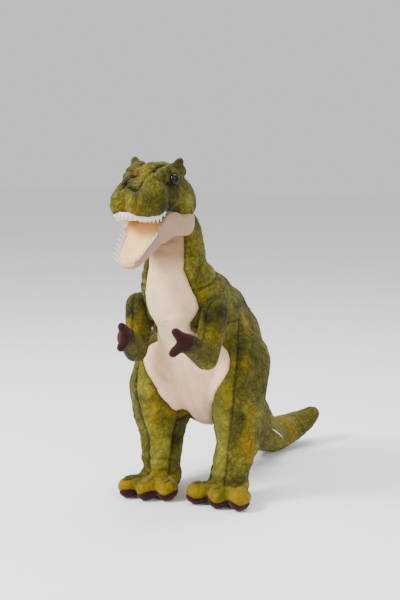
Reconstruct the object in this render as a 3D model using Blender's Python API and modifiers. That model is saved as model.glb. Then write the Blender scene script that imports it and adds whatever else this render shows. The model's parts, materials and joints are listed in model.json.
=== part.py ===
"""A standing plush theropod dinosaur, sewn from panels over stuffing cores.

Blender 4.5, metres, +Z up. The toy faces -Y and its own left is +X. Every panel, core, bag, eye,
tooth strip and label is an object of its own. Moving groups hang on empties that sit on their joints.
"""

import math

import bmesh
import bpy
from mathutils import Matrix, Vector

MM = 0.001

# Driving dimensions, in millimetres
CLOTH = 1.7  # thickness of the plush panels
CORE_INSET = 4.6  # how far the stuffing lies inside the outer surface
GAP = 0.6  # gap between two pieces that touch
SOLE = 4.0  # thickness of the sole pads
HEAD_YAW = 8.0  # degrees that the head is turned to the toy's right
NECK_AXIS = (0, -66)  # where the head's own frame stands
BODY_VOXEL = 5.0
ARM_VOXEL = 3.6
BODY_TRIANGLES = 1150
CORE_SHARE = 0.55  # how many of the form's triangles a core keeps
ARM_TRIANGLES = 170
JAW_TRIANGLES = 190

NECK_SEAM = ((0, -60, 310), (0, -0.342, 0.940))
HEAD_PIVOT = (0, -64, 350)
HEAD_BALL = 42.0
TAIL_PIVOT = (0, 165, 92)
TAIL_DIRECTION = (0, 0.75, -0.66)
TAIL_BALL = 48.0
SHOULDER = (53, -68, 270)
POCKET = 25.0  # radius of the flat seat that each arm turns on
SHOULDER_FLAT = 46.3  # how far from the middle the arm's flat joint face lies
JAW_HINGE = (50, 386)  # forward and up, in the head's frame
JAW_HEEL = 15.0  # how far the jaw reaches round behind its hinge
JAW_DROP = 45.0  # degrees that the lower jaw hangs below level

# Outer form: chains of ellipsoids, each (centre, radii); neighbours are joined by their hull
TORSO = [
    ((0, -66, 376), (31, 30, 26)),
    ((0, -67, 350), (38, 33, 20)),
    ((0, -67, 327), (44, 34, 22)),
    ((0, -46, 298), (58, 52, 28)),
    ((0, -12, 266), (60, 81, 34)),
    ((0, 21, 228), (64, 84, 38)),
    ((0, 40, 190), (66, 86, 40)),
    ((0, 52, 150), (62, 77, 40)),
    ((0, 50, 121), (45, 55, 32)),
]
LEG = [
    ((60, 14, 184), (37, 58, 48)),
    ((60, 5, 150), (40, 55, 40)),
    ((60, 2, 110), (34, 43, 30)),
    ((59, 0, 85), (30, 34, 25)),
    ((53, -17, 42), (27, 27, 20)),
]
HEEL = ((53, -4, 16), (24, 22, 16))
TOE_RADII = (15.5, 17, 15)
TOES = {
    "left": [(15, -40), (50, -43), (80, -38)],
    "right": [(-26, -48), (-52, -60), (-80, -61)],
}
TAIL = [
    ((0, 100, 140), (52, 50, 50)),
    ((0, 150, 98), (44, 44, 44)),
    ((2, 196, 58), (34, 34, 34)),
    ((5, 236, 27), (27, 27, 28)),
    ((15, 268, 28), (24, 24, 23)),
    ((36, 297, 41), (18, 18, 18)),
    ((48, 312, 54), (12, 12, 12)),
]
# The head's chains are in its own frame: forward, left, up
SKULL = [
    ((20, 0, 424), (42, 39, 40)),
    ((28, 0, 399), (33, 41, 24)),
]
FOREHEAD = [
    ((24, 0, 428), (34, 34, 36)),
    ((42, 0, 441), (20, 29, 22)),
]
MUZZLE = [
    ((30, 0, 424), (30, 36, 34)),
    ((58, 0, 412), (16, 34, 37)),
    ((92, 0, 408), (16, 25, 14)),
]
PALATE_LEVEL = 402.0
# The jaw's chain is in the hinge's frame: along the jaw, left, and up from it
JAW = [
    ((2, 0, -6), (14, 27, 17)),
    ((28, 0, -4), (14, 22, 14)),
    ((62, 0, 1), (10, 17, 8)),
]
JAW_FLAT = 7.5
UPPER_ARM = [
    ((61, -67, 270), (19, 19, 20)),
    ((58, -71, 246), (16.5, 16.5, 17)),
    ((53, -81, 212), (16, 16, 16)),
]
FOREARM = [
    ((53, -81, 212), (16, 16, 16)),
    ((46, -118, 238), (12.5, 13, 14)),
]
FINGERS = [
    ((46, -118, 238), (11, 12, 13)),
    ((39, -138, 252), (7.5, 8, 7.5)),
    ((38, -145, 232), (7.5, 8, 7.5)),
]
WRIST = ((47, -116, 237), (-0.17, -0.83, 0.53))


# Scene and collections

for old in list(bpy.data.objects):
    bpy.data.objects.remove(old, do_unlink=True)

parts = bpy.data.collections.new("Plush_dinosaur")
tools = bpy.data.collections.new("Cutters")
tools.hide_render = True
for group in (parts, tools):
    bpy.context.scene.collection.children.link(group)


def v3(point):
    """A point in metres from millimetres."""
    return Vector(point) * MM


def head_point(point):
    """World point (mm) from the head's frame: forward, left, up."""
    yaw = math.radians(HEAD_YAW)
    forward = Vector((-math.sin(yaw), -math.cos(yaw), 0))
    left = Vector((math.cos(yaw), -math.sin(yaw), 0))
    base = Vector((NECK_AXIS[0], NECK_AXIS[1], 0))
    return base + forward * point[0] + left * point[1] + Vector((0, 0, point[2]))


def head_direction(direction):
    return head_point(direction) - head_point((0, 0, 0))


def jaw_point(point):
    """World point (mm) from the jaw's frame: along, left, up from the jaw."""
    drop = math.radians(JAW_DROP)
    forward = JAW_HINGE[0] + point[0] * math.cos(drop) + point[2] * math.sin(drop)
    up = JAW_HINGE[1] - point[0] * math.sin(drop) + point[2] * math.cos(drop)
    return head_point((forward, point[1], up))


def jaw_direction(direction):
    return jaw_point(direction) - jaw_point((0, 0, 0))


def world_point(point):
    return Vector(point)


def new_object(name, mesh, group=tools):
    made = bpy.data.objects.new(name, mesh)
    group.objects.link(made)
    if group == tools:
        made.display_type = "WIRE"
        made.hide_render = True
    return made


def from_bmesh(name, bm, group=tools):
    bmesh.ops.recalc_face_normals(bm, faces=bm.faces[:])
    if bm.calc_volume(signed=True) < 0:
        bmesh.ops.reverse_faces(bm, faces=bm.faces[:])
    mesh = bpy.data.meshes.new(name)
    bm.to_mesh(mesh)
    bm.free()
    return new_object(name, mesh, group)


def remove(*objects):
    for obj in objects:
        bpy.data.objects.remove(obj, do_unlink=True)


def evaluated_mesh(obj):
    bpy.context.view_layer.update()
    graph = bpy.context.evaluated_depsgraph_get()
    return bpy.data.meshes.new_from_object(obj.evaluated_get(graph))


def baked(obj):
    """The object with its modifiers applied."""
    mesh = evaluated_mesh(obj)
    obj.modifiers.clear()
    obj.data = mesh
    return obj


def tidied(obj):
    """Slivers that a cut leaves are dissolved, and faces made triangles."""
    bm = bmesh.new()
    bm.from_mesh(obj.data)
    bmesh.ops.dissolve_degenerate(bm, dist=2e-6, edges=bm.edges[:])
    bmesh.ops.triangulate(bm, faces=bm.faces[:])
    bm.to_mesh(obj.data)
    bm.free()
    return obj


def copy_of(obj, name):
    return new_object(name, obj.data.copy())


def boolean(obj, cutter, operation):
    modifier = obj.modifiers.new(operation.title(), "BOOLEAN")
    modifier.operation = operation
    modifier.object = cutter
    for solver in ("EXACT", "MANIFOLD"):
        modifier.solver = solver
        mesh = evaluated_mesh(obj)
        if mesh.polygons:
            break
    obj.modifiers.clear()
    obj.data = mesh
    return tidied(obj)


def displaced(obj, distance):
    """The surface moved along its normals by this many millimetres."""
    modifier = obj.modifiers.new("Displace", "DISPLACE")
    modifier.mid_level = 0.0
    modifier.strength = distance * MM
    return baked(obj)


# Forms


def add_ellipsoid(bm, centre, radii, frame, turn, segments=20, rings=12):
    """One ellipsoid in a bmesh; frame gives its place and turn its axes."""
    matrix = Matrix.Translation(frame(centre) * MM) @ turn @ Matrix.Diagonal((*v3(radii), 1.0))
    return bmesh.ops.create_uvsphere(
        bm, u_segments=segments, v_segments=rings, radius=1.0, matrix=matrix
    )["verts"]


def wrapped(name, bm):
    """A tool object: the convex hull of everything in the bmesh."""
    bmesh.ops.delete(bm, geom=bm.edges[:], context="EDGES_FACES")
    bmesh.ops.convex_hull(bm, input=bm.verts[:])
    loose = [v for v in bm.verts if not v.link_faces]
    bmesh.ops.delete(bm, geom=loose, context="VERTS")
    return from_bmesh(name, bm)


def hull(blobs, frame=world_point, turn=Matrix.Identity(4)):
    bm = bmesh.new()
    for centre, radii in blobs:
        add_ellipsoid(bm, centre, radii, frame, turn)
    return wrapped("hull", bm)


def chain(blobs, frame=world_point, turn=Matrix.Identity(4)):
    return [hull(pair, frame, turn) for pair in zip(blobs, blobs[1:])]


def fused(name, pieces, voxel, smoothing, triangles):
    """One smooth closed surface round all the pieces."""
    bm = bmesh.new()
    for piece in pieces:
        bm.from_mesh(piece.data)
    form = from_bmesh(name, bm)
    remove(*pieces)
    remesh = form.modifiers.new("Remesh", "REMESH")
    remesh.mode = "VOXEL"
    remesh.voxel_size = voxel * MM
    smooth = form.modifiers.new("Smooth", "SMOOTH")
    smooth.factor = 0.5
    smooth.iterations = smoothing
    baked(form)
    triangulate = form.modifiers.new("Triangulate", "TRIANGULATE")
    triangulate.keep_custom_normals = False
    baked(form)
    decimate = form.modifiers.new("Decimate", "DECIMATE")
    decimate.ratio = triangles / len(form.data.polygons)
    decimate.use_collapse_triangulate = True
    return baked(form)


def cell(planes):
    """The solid inside some planes, each (point, outward normal, extra offset) in millimetres."""
    bm = bmesh.new()
    bmesh.ops.create_cube(bm, size=1.4)
    for point, normal, extra in planes:
        normal = Vector(normal).normalized()
        at = (Vector(point) + normal * extra) * MM
        everything = bm.verts[:] + bm.edges[:] + bm.faces[:]
        cut = bmesh.ops.bisect_plane(
            bm, geom=everything, dist=1e-7, plane_co=at, plane_no=normal, clear_outer=True
        )
        edges = [e for e in cut["geom_cut"] if isinstance(e, bmesh.types.BMEdge)]
        bmesh.ops.contextual_create(bm, geom=edges)
    return from_bmesh("cell", bm)


def grown(planes, by=GAP):
    return [(point, normal, extra + by) for point, normal, extra in planes]


def ball(centre, radius):
    bm = bmesh.new()
    bmesh.ops.create_uvsphere(bm, u_segments=32, v_segments=18, radius=radius * MM)
    bmesh.ops.translate(bm, verts=bm.verts[:], vec=v3(centre))
    return from_bmesh("ball", bm)


def cylinder(start, end, radius, segments=40):
    """A closed cylinder between two points, in millimetres."""
    start, end = v3(start), v3(end)
    bm = bmesh.new()
    bmesh.ops.create_cone(
        bm,
        cap_ends=True,
        segments=segments,
        radius1=radius * MM,
        radius2=radius * MM,
        depth=(end - start).length,
    )
    turn = (end - start).to_track_quat("Z", "Y").to_matrix().to_4x4()
    bm.transform(Matrix.Translation((start + end) / 2) @ turn)
    return from_bmesh("cylinder", bm)


def within(source, planes, name):
    """A copy of the source that keeps what lies inside the planes."""
    tool = cell(planes)
    made = boolean(copy_of(source, name), tool, "INTERSECT")
    remove(tool)
    return made


def without(source, planes):
    """The source with what lies inside the planes removed."""
    tool = cell(planes)
    boolean(source, tool, "DIFFERENCE")
    remove(tool)
    return source


def carve(source, planes, name):
    """Splits a piece off the source and leaves a gap behind it."""
    piece = within(source, planes, name)
    without(source, grown(planes))
    return piece


def shell_of(form):
    """The cloth of a form: its outer surface with a thickness inwards."""
    skin = copy_of(form, "skin")
    solidify = skin.modifiers.new("Solidify", "SOLIDIFY")
    solidify.thickness = CLOTH * MM
    solidify.offset = -1.0
    solidify.use_even_offset = False
    return baked(skin)


def core_of(form, inset=CORE_INSET):
    """The stuffing of a form: a plainer body inside its cloth."""
    core = displaced(copy_of(form, "core"), -inset)
    decimate = core.modifiers.new("Decimate", "DECIMATE")
    decimate.ratio = CORE_SHARE
    return baked(core)


def mirrored(planes):
    """The same planes on the toy's other side."""
    made = []
    for point, normal, extra in planes:
        made.append(((-point[0], *point[1:]), (-normal[0], *normal[1:]), extra))
    return made


# Materials


def material(name, colour, roughness, metallic=0.0):
    made = bpy.data.materials.new(name)
    made.use_nodes = True
    shader = made.node_tree.nodes["Principled BSDF"]
    shader.inputs["Base Color"].default_value = (*colour, 1.0)
    shader.inputs["Roughness"].default_value = roughness
    shader.inputs["Metallic"].default_value = metallic
    made.diffuse_color = (*colour, 1.0)
    return made


GREEN = (0.13, 0.17, 0.035)
LIGHT_GREEN = (0.20, 0.24, 0.05)
MUSTARD = (0.36, 0.26, 0.05)
BEIGE = (0.50, 0.40, 0.28)
PINK_BEIGE = (0.55, 0.38, 0.26)
MAROON = (0.13, 0.03, 0.03)
PEACH = (0.70, 0.32, 0.16)
WHITE = (0.80, 0.80, 0.78)
BLACK = (0.01, 0.01, 0.01)
CREAM = (0.75, 0.73, 0.68)
SAND = (0.45, 0.40, 0.30)

finished = {}


def without_crumbs(obj):
    """Keeps the largest body of a piece: a cut can leave a crumb beside it."""
    bm = bmesh.new()
    bm.from_mesh(obj.data)
    bodies = []
    unseen = set(bm.verts)
    while unseen:
        reached = [unseen.pop()]
        body = set(reached)
        while reached:
            for edge in reached.pop().link_edges:
                for vert in edge.verts:
                    if vert in unseen:
                        unseen.discard(vert)
                        body.add(vert)
                        reached.append(vert)
        bodies.append(body)
    bodies.sort(key=len)
    crumbs = [vert for body in bodies[:-1] for vert in body]
    bmesh.ops.delete(bm, geom=crumbs, context="VERTS")
    bm.to_mesh(obj.data)
    bm.free()


def finish(obj, name, colour, roughness=0.95):
    """Names a piece, gives it its own material and puts it among the parts."""
    without_crumbs(obj)
    obj.name = name
    obj.data.name = name
    obj.data.materials.clear()
    obj.data.materials.append(material(name, colour, roughness))
    obj.data.shade_smooth()
    obj.data.set_sharp_from_angle(angle=math.radians(40))
    tools.objects.unlink(obj)
    parts.objects.link(obj)
    obj.display_type = "TEXTURED"
    obj.hide_render = False
    finished[name] = obj
    return obj


# The main form: torso, legs, tail, neck and upper head in one sewn surface

head_turn = Matrix.Rotation(math.radians(-HEAD_YAW - 90), 4, "Z")
jaw_turn = head_turn @ Matrix.Rotation(math.radians(JAW_DROP), 4, "Y")

pieces = chain(TORSO) + chain(TAIL)
for side, sign in (("left", 1), ("right", -1)):
    leg = [((sign * c[0], c[1], c[2]), r) for c, r in LEG]
    pieces += chain(leg)
    ankle = leg[-1]
    heel = ((sign * HEEL[0][0], HEEL[0][1], HEEL[0][2]), HEEL[1])
    for toe in TOES[side]:
        pieces.append(hull([ankle, heel, ((toe[0], toe[1], 15), TOE_RADII)]))
pieces += chain(SKULL, head_point, head_turn)
pieces += chain(FOREHEAD, head_point, head_turn)
for lump in chain(MUZZLE, head_point, head_turn):
    boolean(lump, cell([((0, 0, PALATE_LEVEL), (0, 0, -1), 0)]), "INTERSECT")
    pieces.append(lump)
main = fused("main", pieces, BODY_VOXEL, 7, BODY_TRIANGLES)

skin = shell_of(main)
core = core_of(main)

# The feet end flat on the soles and the tail rests flat on the ground
FOOT_BASE = SOLE + GAP
for piece in (skin, core):
    ground = [((0, 0, 0), (0, 0, 1), 0)]
    without(piece, ground)
    without(piece, [((0, 0, FOOT_BASE), (0, 0, 1), 0), ((0, 90, 0), (0, 1, 0), 0)])

# The mouth opens between the cheeks, below the palate
mouth = cell(
    [
        (head_point((38, 0, 0)), head_direction((-1, 0, 0)), 0),
        (head_point((0, 31.5, 0)), head_direction((0, 1, 0)), 0),
        (head_point((0, -31.5, 0)), head_direction((0, -1, 0)), 0),
        ((0, 0, PALATE_LEVEL - 3.0), (0, 0, 1), 0),
        ((0, 0, 340), (0, 0, -1), 0),
    ]
)
heel_left = head_point((JAW_HINGE[0], 31.5, JAW_HINGE[1]))
heel_right = head_point((JAW_HINGE[0], -31.5, JAW_HINGE[1]))
heel = cylinder(heel_left, heel_right, JAW_HEEL + 2)
for piece in (skin, core):
    boolean(piece, mouth, "DIFFERENCE")
    boolean(piece, heel, "DIFFERENCE")

# Shoulder pockets, so that each arm turns on a flat face
for sign in (1, -1):
    near = (sign * (SHOULDER_FLAT - 0.3), SHOULDER[1], SHOULDER[2])
    far = (sign * 90, SHOULDER[1], SHOULDER[2])
    pocket = cylinder(near, far, POCKET)
    for piece in (skin, core):
        boolean(piece, pocket, "DIFFERENCE")

# The joints: a tilted seam below the neck, a ball in the neck's top, and a ball at the tail's root
neck_cut = (NECK_SEAM[0], NECK_SEAM[1], 0)
seam_below = (NECK_SEAM[0], [-c for c in NECK_SEAM[1]], -GAP)
HEAD_FLOOR = 358


def split_by_ball(source, planes, centre, radius):
    """Parts the source into what lies outside a ball behind the planes, and the rest."""
    beyond = cell(planes)
    boolean(beyond, ball(centre, radius + GAP), "DIFFERENCE")
    outer = boolean(copy_of(source, "outer"), beyond, "INTERSECT")
    near = cell(grown(planes))
    boolean(near, ball(centre, radius), "DIFFERENCE")
    boolean(source, near, "DIFFERENCE")
    return outer


head_planes = [((0, 0, HEAD_FLOOR), (0, 0, -1), 0)]
tail_planes = [(TAIL_PIVOT, [-c for c in TAIL_DIRECTION], 0)]
head_skin = split_by_ball(skin, head_planes, HEAD_PIVOT, HEAD_BALL)
head_core = split_by_ball(core, head_planes, HEAD_PIVOT, HEAD_BALL)
tail_skin = split_by_ball(skin, tail_planes, TAIL_PIVOT, TAIL_BALL)
tail_core = split_by_ball(core, tail_planes, TAIL_PIVOT, TAIL_BALL)
neck_skin = within(skin, [seam_below], "neck_skin")
neck_core = within(core, [seam_below], "neck_core")
skin = within(skin, [neck_cut], "root_skin")
core = within(core, [neck_cut], "root_core")

# Torso and leg panels
BELLY = [
    ((45, -82, 273), (0.8, 0.6, 0.53), 0),
    ((58, -18, 188), (0.9045, 0.3317, -0.2681), 0),
    ((0, 30, 86), (0, 0.8, -0.6), 0),
    ((GAP / 2, 0, 0), (-1, 0, 0), 0),
    ((0, 0, 60), (0, 0, -1), 0),
]
FOOT_SEAM = [((0, 0, 34), (0, -0.1, 1), 0), ((0, 70, 0), (0, 1, 0), 0)]
LEG_FRONT = [
    ((62, -3, 251), (0.878, 0.469, -0.095), 0),
    ((58, -5, 70), (-0.539, 0.824, -0.175), 0),
    ((0, 0, 251), (0, 0, 1), 0),
]
LEG_INNER = [
    ((58, -5, 70), (0.539, -0.824, 0.175), 0),
    ((57, 0, 100), (0.93, -0.35, 0.1), 0),
    ((0, 30, 112), (0, -0.15, 1), 0),
    ((0, 96, 0), (0, 1, 0), 0),
]
HIP = [((0, 10, 128), (0.2, -0.1, 1), 0), ((0, 92, 0), (0, 1, 0), 0)]

for side, sign in (("left", 1), ("right", -1)):
    flip = (lambda planes: planes) if sign > 0 else mirrored
    half = [((sign * GAP / 2, 0, 0), (-sign, 0, 0), 0)]
    rest = within(skin, half, "half")
    finish(carve(rest, flip(FOOT_SEAM), "foot"), "foot_top_" + side, MUSTARD)
    finish(carve(rest, flip(BELLY), "belly"), "belly_panel_" + side, BEIGE)
    finish(carve(rest, flip(LEG_INNER), "inner"), "leg_inner_" + side, GREEN)
    finish(carve(rest, flip(LEG_FRONT), "front"), "leg_front_" + side, LIGHT_GREEN)
    finish(rest, "body_side_" + side, GREEN)
    leg_half = [((sign * 12, 0, 0), (-sign, 0, 0), 0)]
    finish(carve(core, leg_half + flip(FOOT_SEAM), "bag"), "pellet_bag_" + side, SAND)
    finish(carve(core, leg_half + flip(HIP), "leg"), "leg_stuffing_" + side, CREAM)
finish(core, "torso_stuffing", CREAM)

# Soles: flat pads under the toes and heel
for side, sign in (("left", 1), ("right", -1)):
    spots = [(x, y, TOE_RADII[0] - 1.5) for x, y in TOES[side]]
    spots.append((sign * HEEL[0][0], HEEL[0][1], HEEL[1][1] - 1.5))
    bm = bmesh.new()
    for x, y, radius in spots:
        for height in (0, SOLE):
            bmesh.ops.create_circle(
                bm,
                segments=24,
                radius=radius * MM,
                matrix=Matrix.Translation(v3((x, y, height))),
            )
    finish(wrapped("sole", bm), "sole_" + side, MAROON)

# Tail: two panels on a top and bottom seam, over one core
for side, sign in (("left", 1), ("right", -1)):
    bend = [((0, 170, 0), (-sign, sign * 0.25, 0), -GAP / 2)]
    finish(within(tail_skin, bend, "tail"), "tail_panel_" + side, GREEN)
finish(tail_core, "tail_stuffing", CREAM)
remove(tail_skin)

# Label: a folded strip of woven tape sewn in below the tail's root, on its left
LABEL_ROOT = (31.5, 175, 50)
LABEL_ALONG = Vector((0.22, 0.50, -0.83)).normalized()
LABEL_OUT = Vector((0.80, -0.38, -0.02)).normalized()
LABEL_SIZE = (19.0, 13.0)  # length from the seam to the fold, and width
PLY = 0.45

across = LABEL_ALONG.cross(LABEL_OUT).normalized()
fold = [(0, 0), (LABEL_SIZE[0], 0), (LABEL_SIZE[0] + 0.6, 0.6), (LABEL_SIZE[0], 1.2), (0, 1.2)]
bm = bmesh.new()
rows = []
for reach, height in fold:
    row = []
    for share in (-0.5, 0.5):
        place = Vector(LABEL_ROOT) + LABEL_ALONG * reach + LABEL_OUT * height
        row.append(bm.verts.new((place + across * share * LABEL_SIZE[1]) * MM))
    rows.append(row)
for first, second in zip(rows, rows[1:]):
    bm.faces.new((first[0], first[1], second[1], second[0]))
mesh = bpy.data.meshes.new("label")
bm.to_mesh(mesh)
bm.free()
label = new_object("label", mesh)
plies = label.modifiers.new("Solidify", "SOLIDIFY")
plies.thickness = PLY * MM
plies.offset = 0.0
finish(baked(label), "care_label", WHITE)

# Neck: a beige throat panel between two green sides
NECK_FRONT = [
    ((31, -87, 335), (0.80, 0.60, 0.0), 0),
    ((-31, -87, 335), (-0.80, 0.60, 0.0), 0),
]
finish(carve(neck_skin, NECK_FRONT, "throat"), "neck_front", BEIGE)
for side, sign in (("left", 1), ("right", -1)):
    half = [((sign * GAP / 2, 0, 0), (-sign, 0, 0), 0)]
    finish(within(neck_skin, half, "neck"), "neck_side_" + side, GREEN)
finish(neck_core, "neck_stuffing", CREAM)
remove(neck_skin)


# Head


def head_planes_of(planes):
    """Planes given in the head's frame: (forward, left, up) for the point and the normal."""
    return [(head_point(p), head_direction(n), extra) for p, n, extra in planes]


PALATE = [((0, 0, PALATE_LEVEL + 3.5), (0, 0, 1), 0), ((39, 0, 0), (-1, 0, 0), 0)]
CHEEK = [((0, 0, PALATE_LEVEL + 1), (0, 0, 1), 0)]
STRIP = [
    ((0, 13, 0), (0, 1, 0), 0),
    ((0, -13, 0), (0, -1, 0), 0),
]
SNOUT = [((60, 0, 0), (-1, 0, 0), 0)]

# Eyes: glossy domes on shanks that pass through the cloth to a lock washer
EYE = (53, 36.5, 440)
EYE_RADII = (6.2, 7.6, 3.6)  # across, up, out of the face
EYE_FACING = (0.42, 0.90, 0.10)
SHANK = 1.9
WASHER = (6.0, 1.4)  # radius and thickness

eye_sites = {}
for side, sign in (("left", 1), ("right", -1)):
    site = Vector(head_point((EYE[0], sign * EYE[1], EYE[2])))
    facing = Vector(
        head_direction((EYE_FACING[0], sign * EYE_FACING[1], EYE_FACING[2]))
    ).normalized()
    _, spot, _, _ = main.ray_cast((site + facing * 30) * MM, -facing)
    eye_sites[side] = (spot / MM, facing)
    hole = cylinder(spot / MM + facing * 6, spot / MM - facing * 16, SHANK + 0.6, 20)
    boolean(head_skin, hole, "DIFFERENCE")
    boolean(head_core, hole, "DIFFERENCE")
    behind = spot / MM - facing * 2.5
    seat = cylinder(behind, spot / MM - facing * 6.5, WASHER[0] + 0.8, 28)
    dish = cylinder(spot / MM + facing * 0.5, spot / MM + facing * 9, EYE_RADII[1] + 0.7, 28)
    boolean(head_core, seat, "DIFFERENCE")
    boolean(head_skin, seat, "DIFFERENCE")
    boolean(head_skin, dish, "DIFFERENCE")

# Brow horns stand on the head, one above each eye
horn_stand = displaced(copy_of(main, "horn_stand"), 0.35)
for side, sign in (("left", 1), ("right", -1)):
    foot = head_point((35, sign * 25, 447))
    tip = head_point((39, sign * 34, 465))
    bm = bmesh.new()
    for place, radii in ((foot, (14.0, 6.0, 6.0)), (tip, (5.0, 3.6, 3.6))):
        matrix = Matrix.Translation(place * MM) @ head_turn @ Matrix.Diagonal((*v3(radii), 1))
        bmesh.ops.create_uvsphere(bm, u_segments=14, v_segments=8, radius=1.0, matrix=matrix)
    horn = wrapped("horn", bm)
    boolean(horn, horn_stand, "DIFFERENCE")
    finish(horn, "brow_horn_" + side, GREEN)

finish(carve(head_skin, head_planes_of(PALATE), "palate"), "palate", PEACH)
cheeks = carve(head_skin, head_planes_of(CHEEK), "cheeks")
finish(carve(head_skin, head_planes_of(STRIP), "strip"), "crown_strip", GREEN)
for side, sign in (("left", 1), ("right", -1)):
    half = head_planes_of([((0, sign * GAP / 2, 0), (0, -sign, 0), 0)])
    finish(within(cheeks, half, "cheek"), "cheek_" + side, PINK_BEIGE)
    rest = within(head_skin, half, "head")
    finish(carve(rest, head_planes_of(SNOUT), "muzzle"), "muzzle_" + side, GREEN)
    finish(rest, "head_side_" + side, GREEN)
remove(cheeks, head_skin)
finish(head_core, "head_stuffing", CREAM)

for side, (spot, facing) in eye_sites.items():
    turn = facing.to_track_quat("Z", "Y").to_matrix().to_4x4()
    bm = bmesh.new()
    bmesh.ops.create_uvsphere(bm, u_segments=18, v_segments=10, radius=1.0)
    bm.transform(turn @ Matrix.Diagonal((*v3(EYE_RADII), 1)))
    bmesh.ops.translate(bm, verts=bm.verts[:], vec=(spot + facing * 1.0) * MM)
    dome = from_bmesh("dome", bm)
    flat = [(spot + facing * 1.0, -facing, 0)]
    boolean(dome, cell(flat), "INTERSECT")
    boolean(dome, cylinder(spot + facing * 2.0, spot - facing * 12, SHANK, 16), "UNION")
    finish(dome, "eye_" + side, BLACK, 0.08)
    inner = spot - facing * 2.9
    washer = cylinder(inner, inner - facing * WASHER[1], WASHER[0], 28)
    bore = cylinder(inner + facing * 2, inner - facing * 4, SHANK + 0.3, 16)
    boolean(washer, bore, "DIFFERENCE")
    finish(washer, "eye_washer_" + side, WHITE, 0.4)


# Teeth: zigzag felt strips along the lips


def tooth_strip(path, base, height, teeth, frame, direction, name):
    """A thin zigzag wall along a path; base is the level of its straight edge."""
    points = []
    total = sum((Vector(b) - Vector(a)).length for a, b in zip(path, path[1:]))
    count = 2 * teeth
    for index in range(count + 1):
        wanted = total * index / count
        for a, b in zip(path, path[1:]):
            step = (Vector(b) - Vector(a)).length
            if wanted <= step + 1e-6:
                points.append(Vector(a).lerp(Vector(b), min(wanted / step, 1.0)))
                break
            wanted -= step
    bm = bmesh.new()
    high, low = [], []
    for index, (x, y) in enumerate(points):
        reach = height if index % 2 else height * 0.35
        high.append(bm.verts.new(Vector(frame((x, y, base))) * MM))
        low.append(bm.verts.new(Vector(frame((x, y, base + direction * reach))) * MM))
    for index in range(count):
        bm.faces.new((high[index], high[index + 1], low[index + 1], low[index]))
    wall = from_bmesh(name, bm)
    solidify = wall.modifiers.new("Solidify", "SOLIDIFY")
    solidify.thickness = 1.2 * MM
    solidify.offset = 0.0
    return finish(baked(wall), name, WHITE)


LIP = [(62, 29), (78, 27), (92, 21), (101, 12), (104, 0)]
upper_path = LIP + [(x, -y) for x, y in reversed(LIP[:-1])]
tooth_strip(upper_path, PALATE_LEVEL - 2.0, 8.5, 13, head_point, -1, "upper_teeth")

# Lower jaw, hung from its hinge between the cheeks
jaw_form = fused("jaw", chain(JAW, jaw_point, jaw_turn), 3.5, 5, JAW_TRIANGLES)
heel = cylinder(heel_left, heel_right, JAW_HEEL + 1.0)
behind = cell([((jaw_point((0, 0, 0))), jaw_direction((1, 0, 0)), 0)])
boolean(behind, heel, "DIFFERENCE")
boolean(jaw_form, behind, "DIFFERENCE")
boolean(jaw_form, ball(HEAD_PIVOT, HEAD_BALL + 4.5), "DIFFERENCE")


def jaw_level(level, up):
    return (jaw_point((0, 0, level)), jaw_direction((0, 0, up)), 0)


def jaw_inside(inset):
    return displaced(copy_of(jaw_form, "inside"), -inset)


LINING_BED = JAW_FLAT - CLOTH
lining = within(jaw_inside(CLOTH + GAP), [jaw_level(JAW_FLAT, 1), jaw_level(LINING_BED, -1)], "lining")
filling = within(jaw_inside(CORE_INSET - 1), [jaw_level(LINING_BED - GAP, 1)], "filling")
finish(lining, "jaw_lining", PEACH)
finish(filling, "jaw_stuffing", CREAM)
finish(within(shell_of(jaw_form), [jaw_level(JAW_FLAT, 1)], "outer"), "jaw_outer", PINK_BEIGE)
RIM = [(18, 20), (36, 18), (54, 15), (63, 9), (66, 0)]
lower_path = RIM + [(x, -y) for x, y in reversed(RIM[:-1])]
tooth_strip(lower_path, JAW_FLAT + 0.5, 7.0, 12, jaw_point, 1, "lower_teeth")

# Arms
for side, sign in (("left", 1), ("right", -1)):

    def sided(blobs, sign=sign):
        return [((sign * c[0], c[1], c[2]), r) for c, r in blobs]

    flip = (lambda planes: planes) if sign > 0 else mirrored
    fingers = [hull(sided([FINGERS[0], tip])) for tip in FINGERS[1:]]
    lumps = chain(sided(UPPER_ARM)) + chain(sided(FOREARM)) + fingers
    arm = fused("arm", lumps, ARM_VOXEL, 4, ARM_TRIANGLES)
    flat_start = (0, SHOULDER[1], SHOULDER[2])
    flat_end = (sign * (SHOULDER_FLAT + 0.3), SHOULDER[1], SHOULDER[2])
    boolean(arm, cylinder(flat_start, flat_end, 30), "DIFFERENCE")
    beyond_wrist = flip([(WRIST[0], [-c for c in WRIST[1]], 0)])
    before_wrist = flip([(WRIST[0], WRIST[1], -GAP)])
    finish(within(arm, beyond_wrist, "hand"), "hand_" + side, MAROON)
    sleeve = shell_of(arm)
    filling = core_of(arm, 3.4)
    seam = flip([((57, -72, 246), (0.974, -0.221, -0.035), -GAP / 2)])
    other = flip([((57, -72, 246), (-0.974, 0.221, 0.035), -GAP / 2)])
    finish(within(sleeve, seam + before_wrist, "inner"), "arm_inner_" + side, LIGHT_GREEN)
    finish(within(sleeve, other + before_wrist, "outer"), "arm_outer_" + side, GREEN)
    finish(within(filling, before_wrist, "core"), "arm_stuffing_" + side, CREAM)
    remove(arm, sleeve, filling)


# Joints: each moving group hangs on an empty at its joint, and its pieces have their origin there


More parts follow.
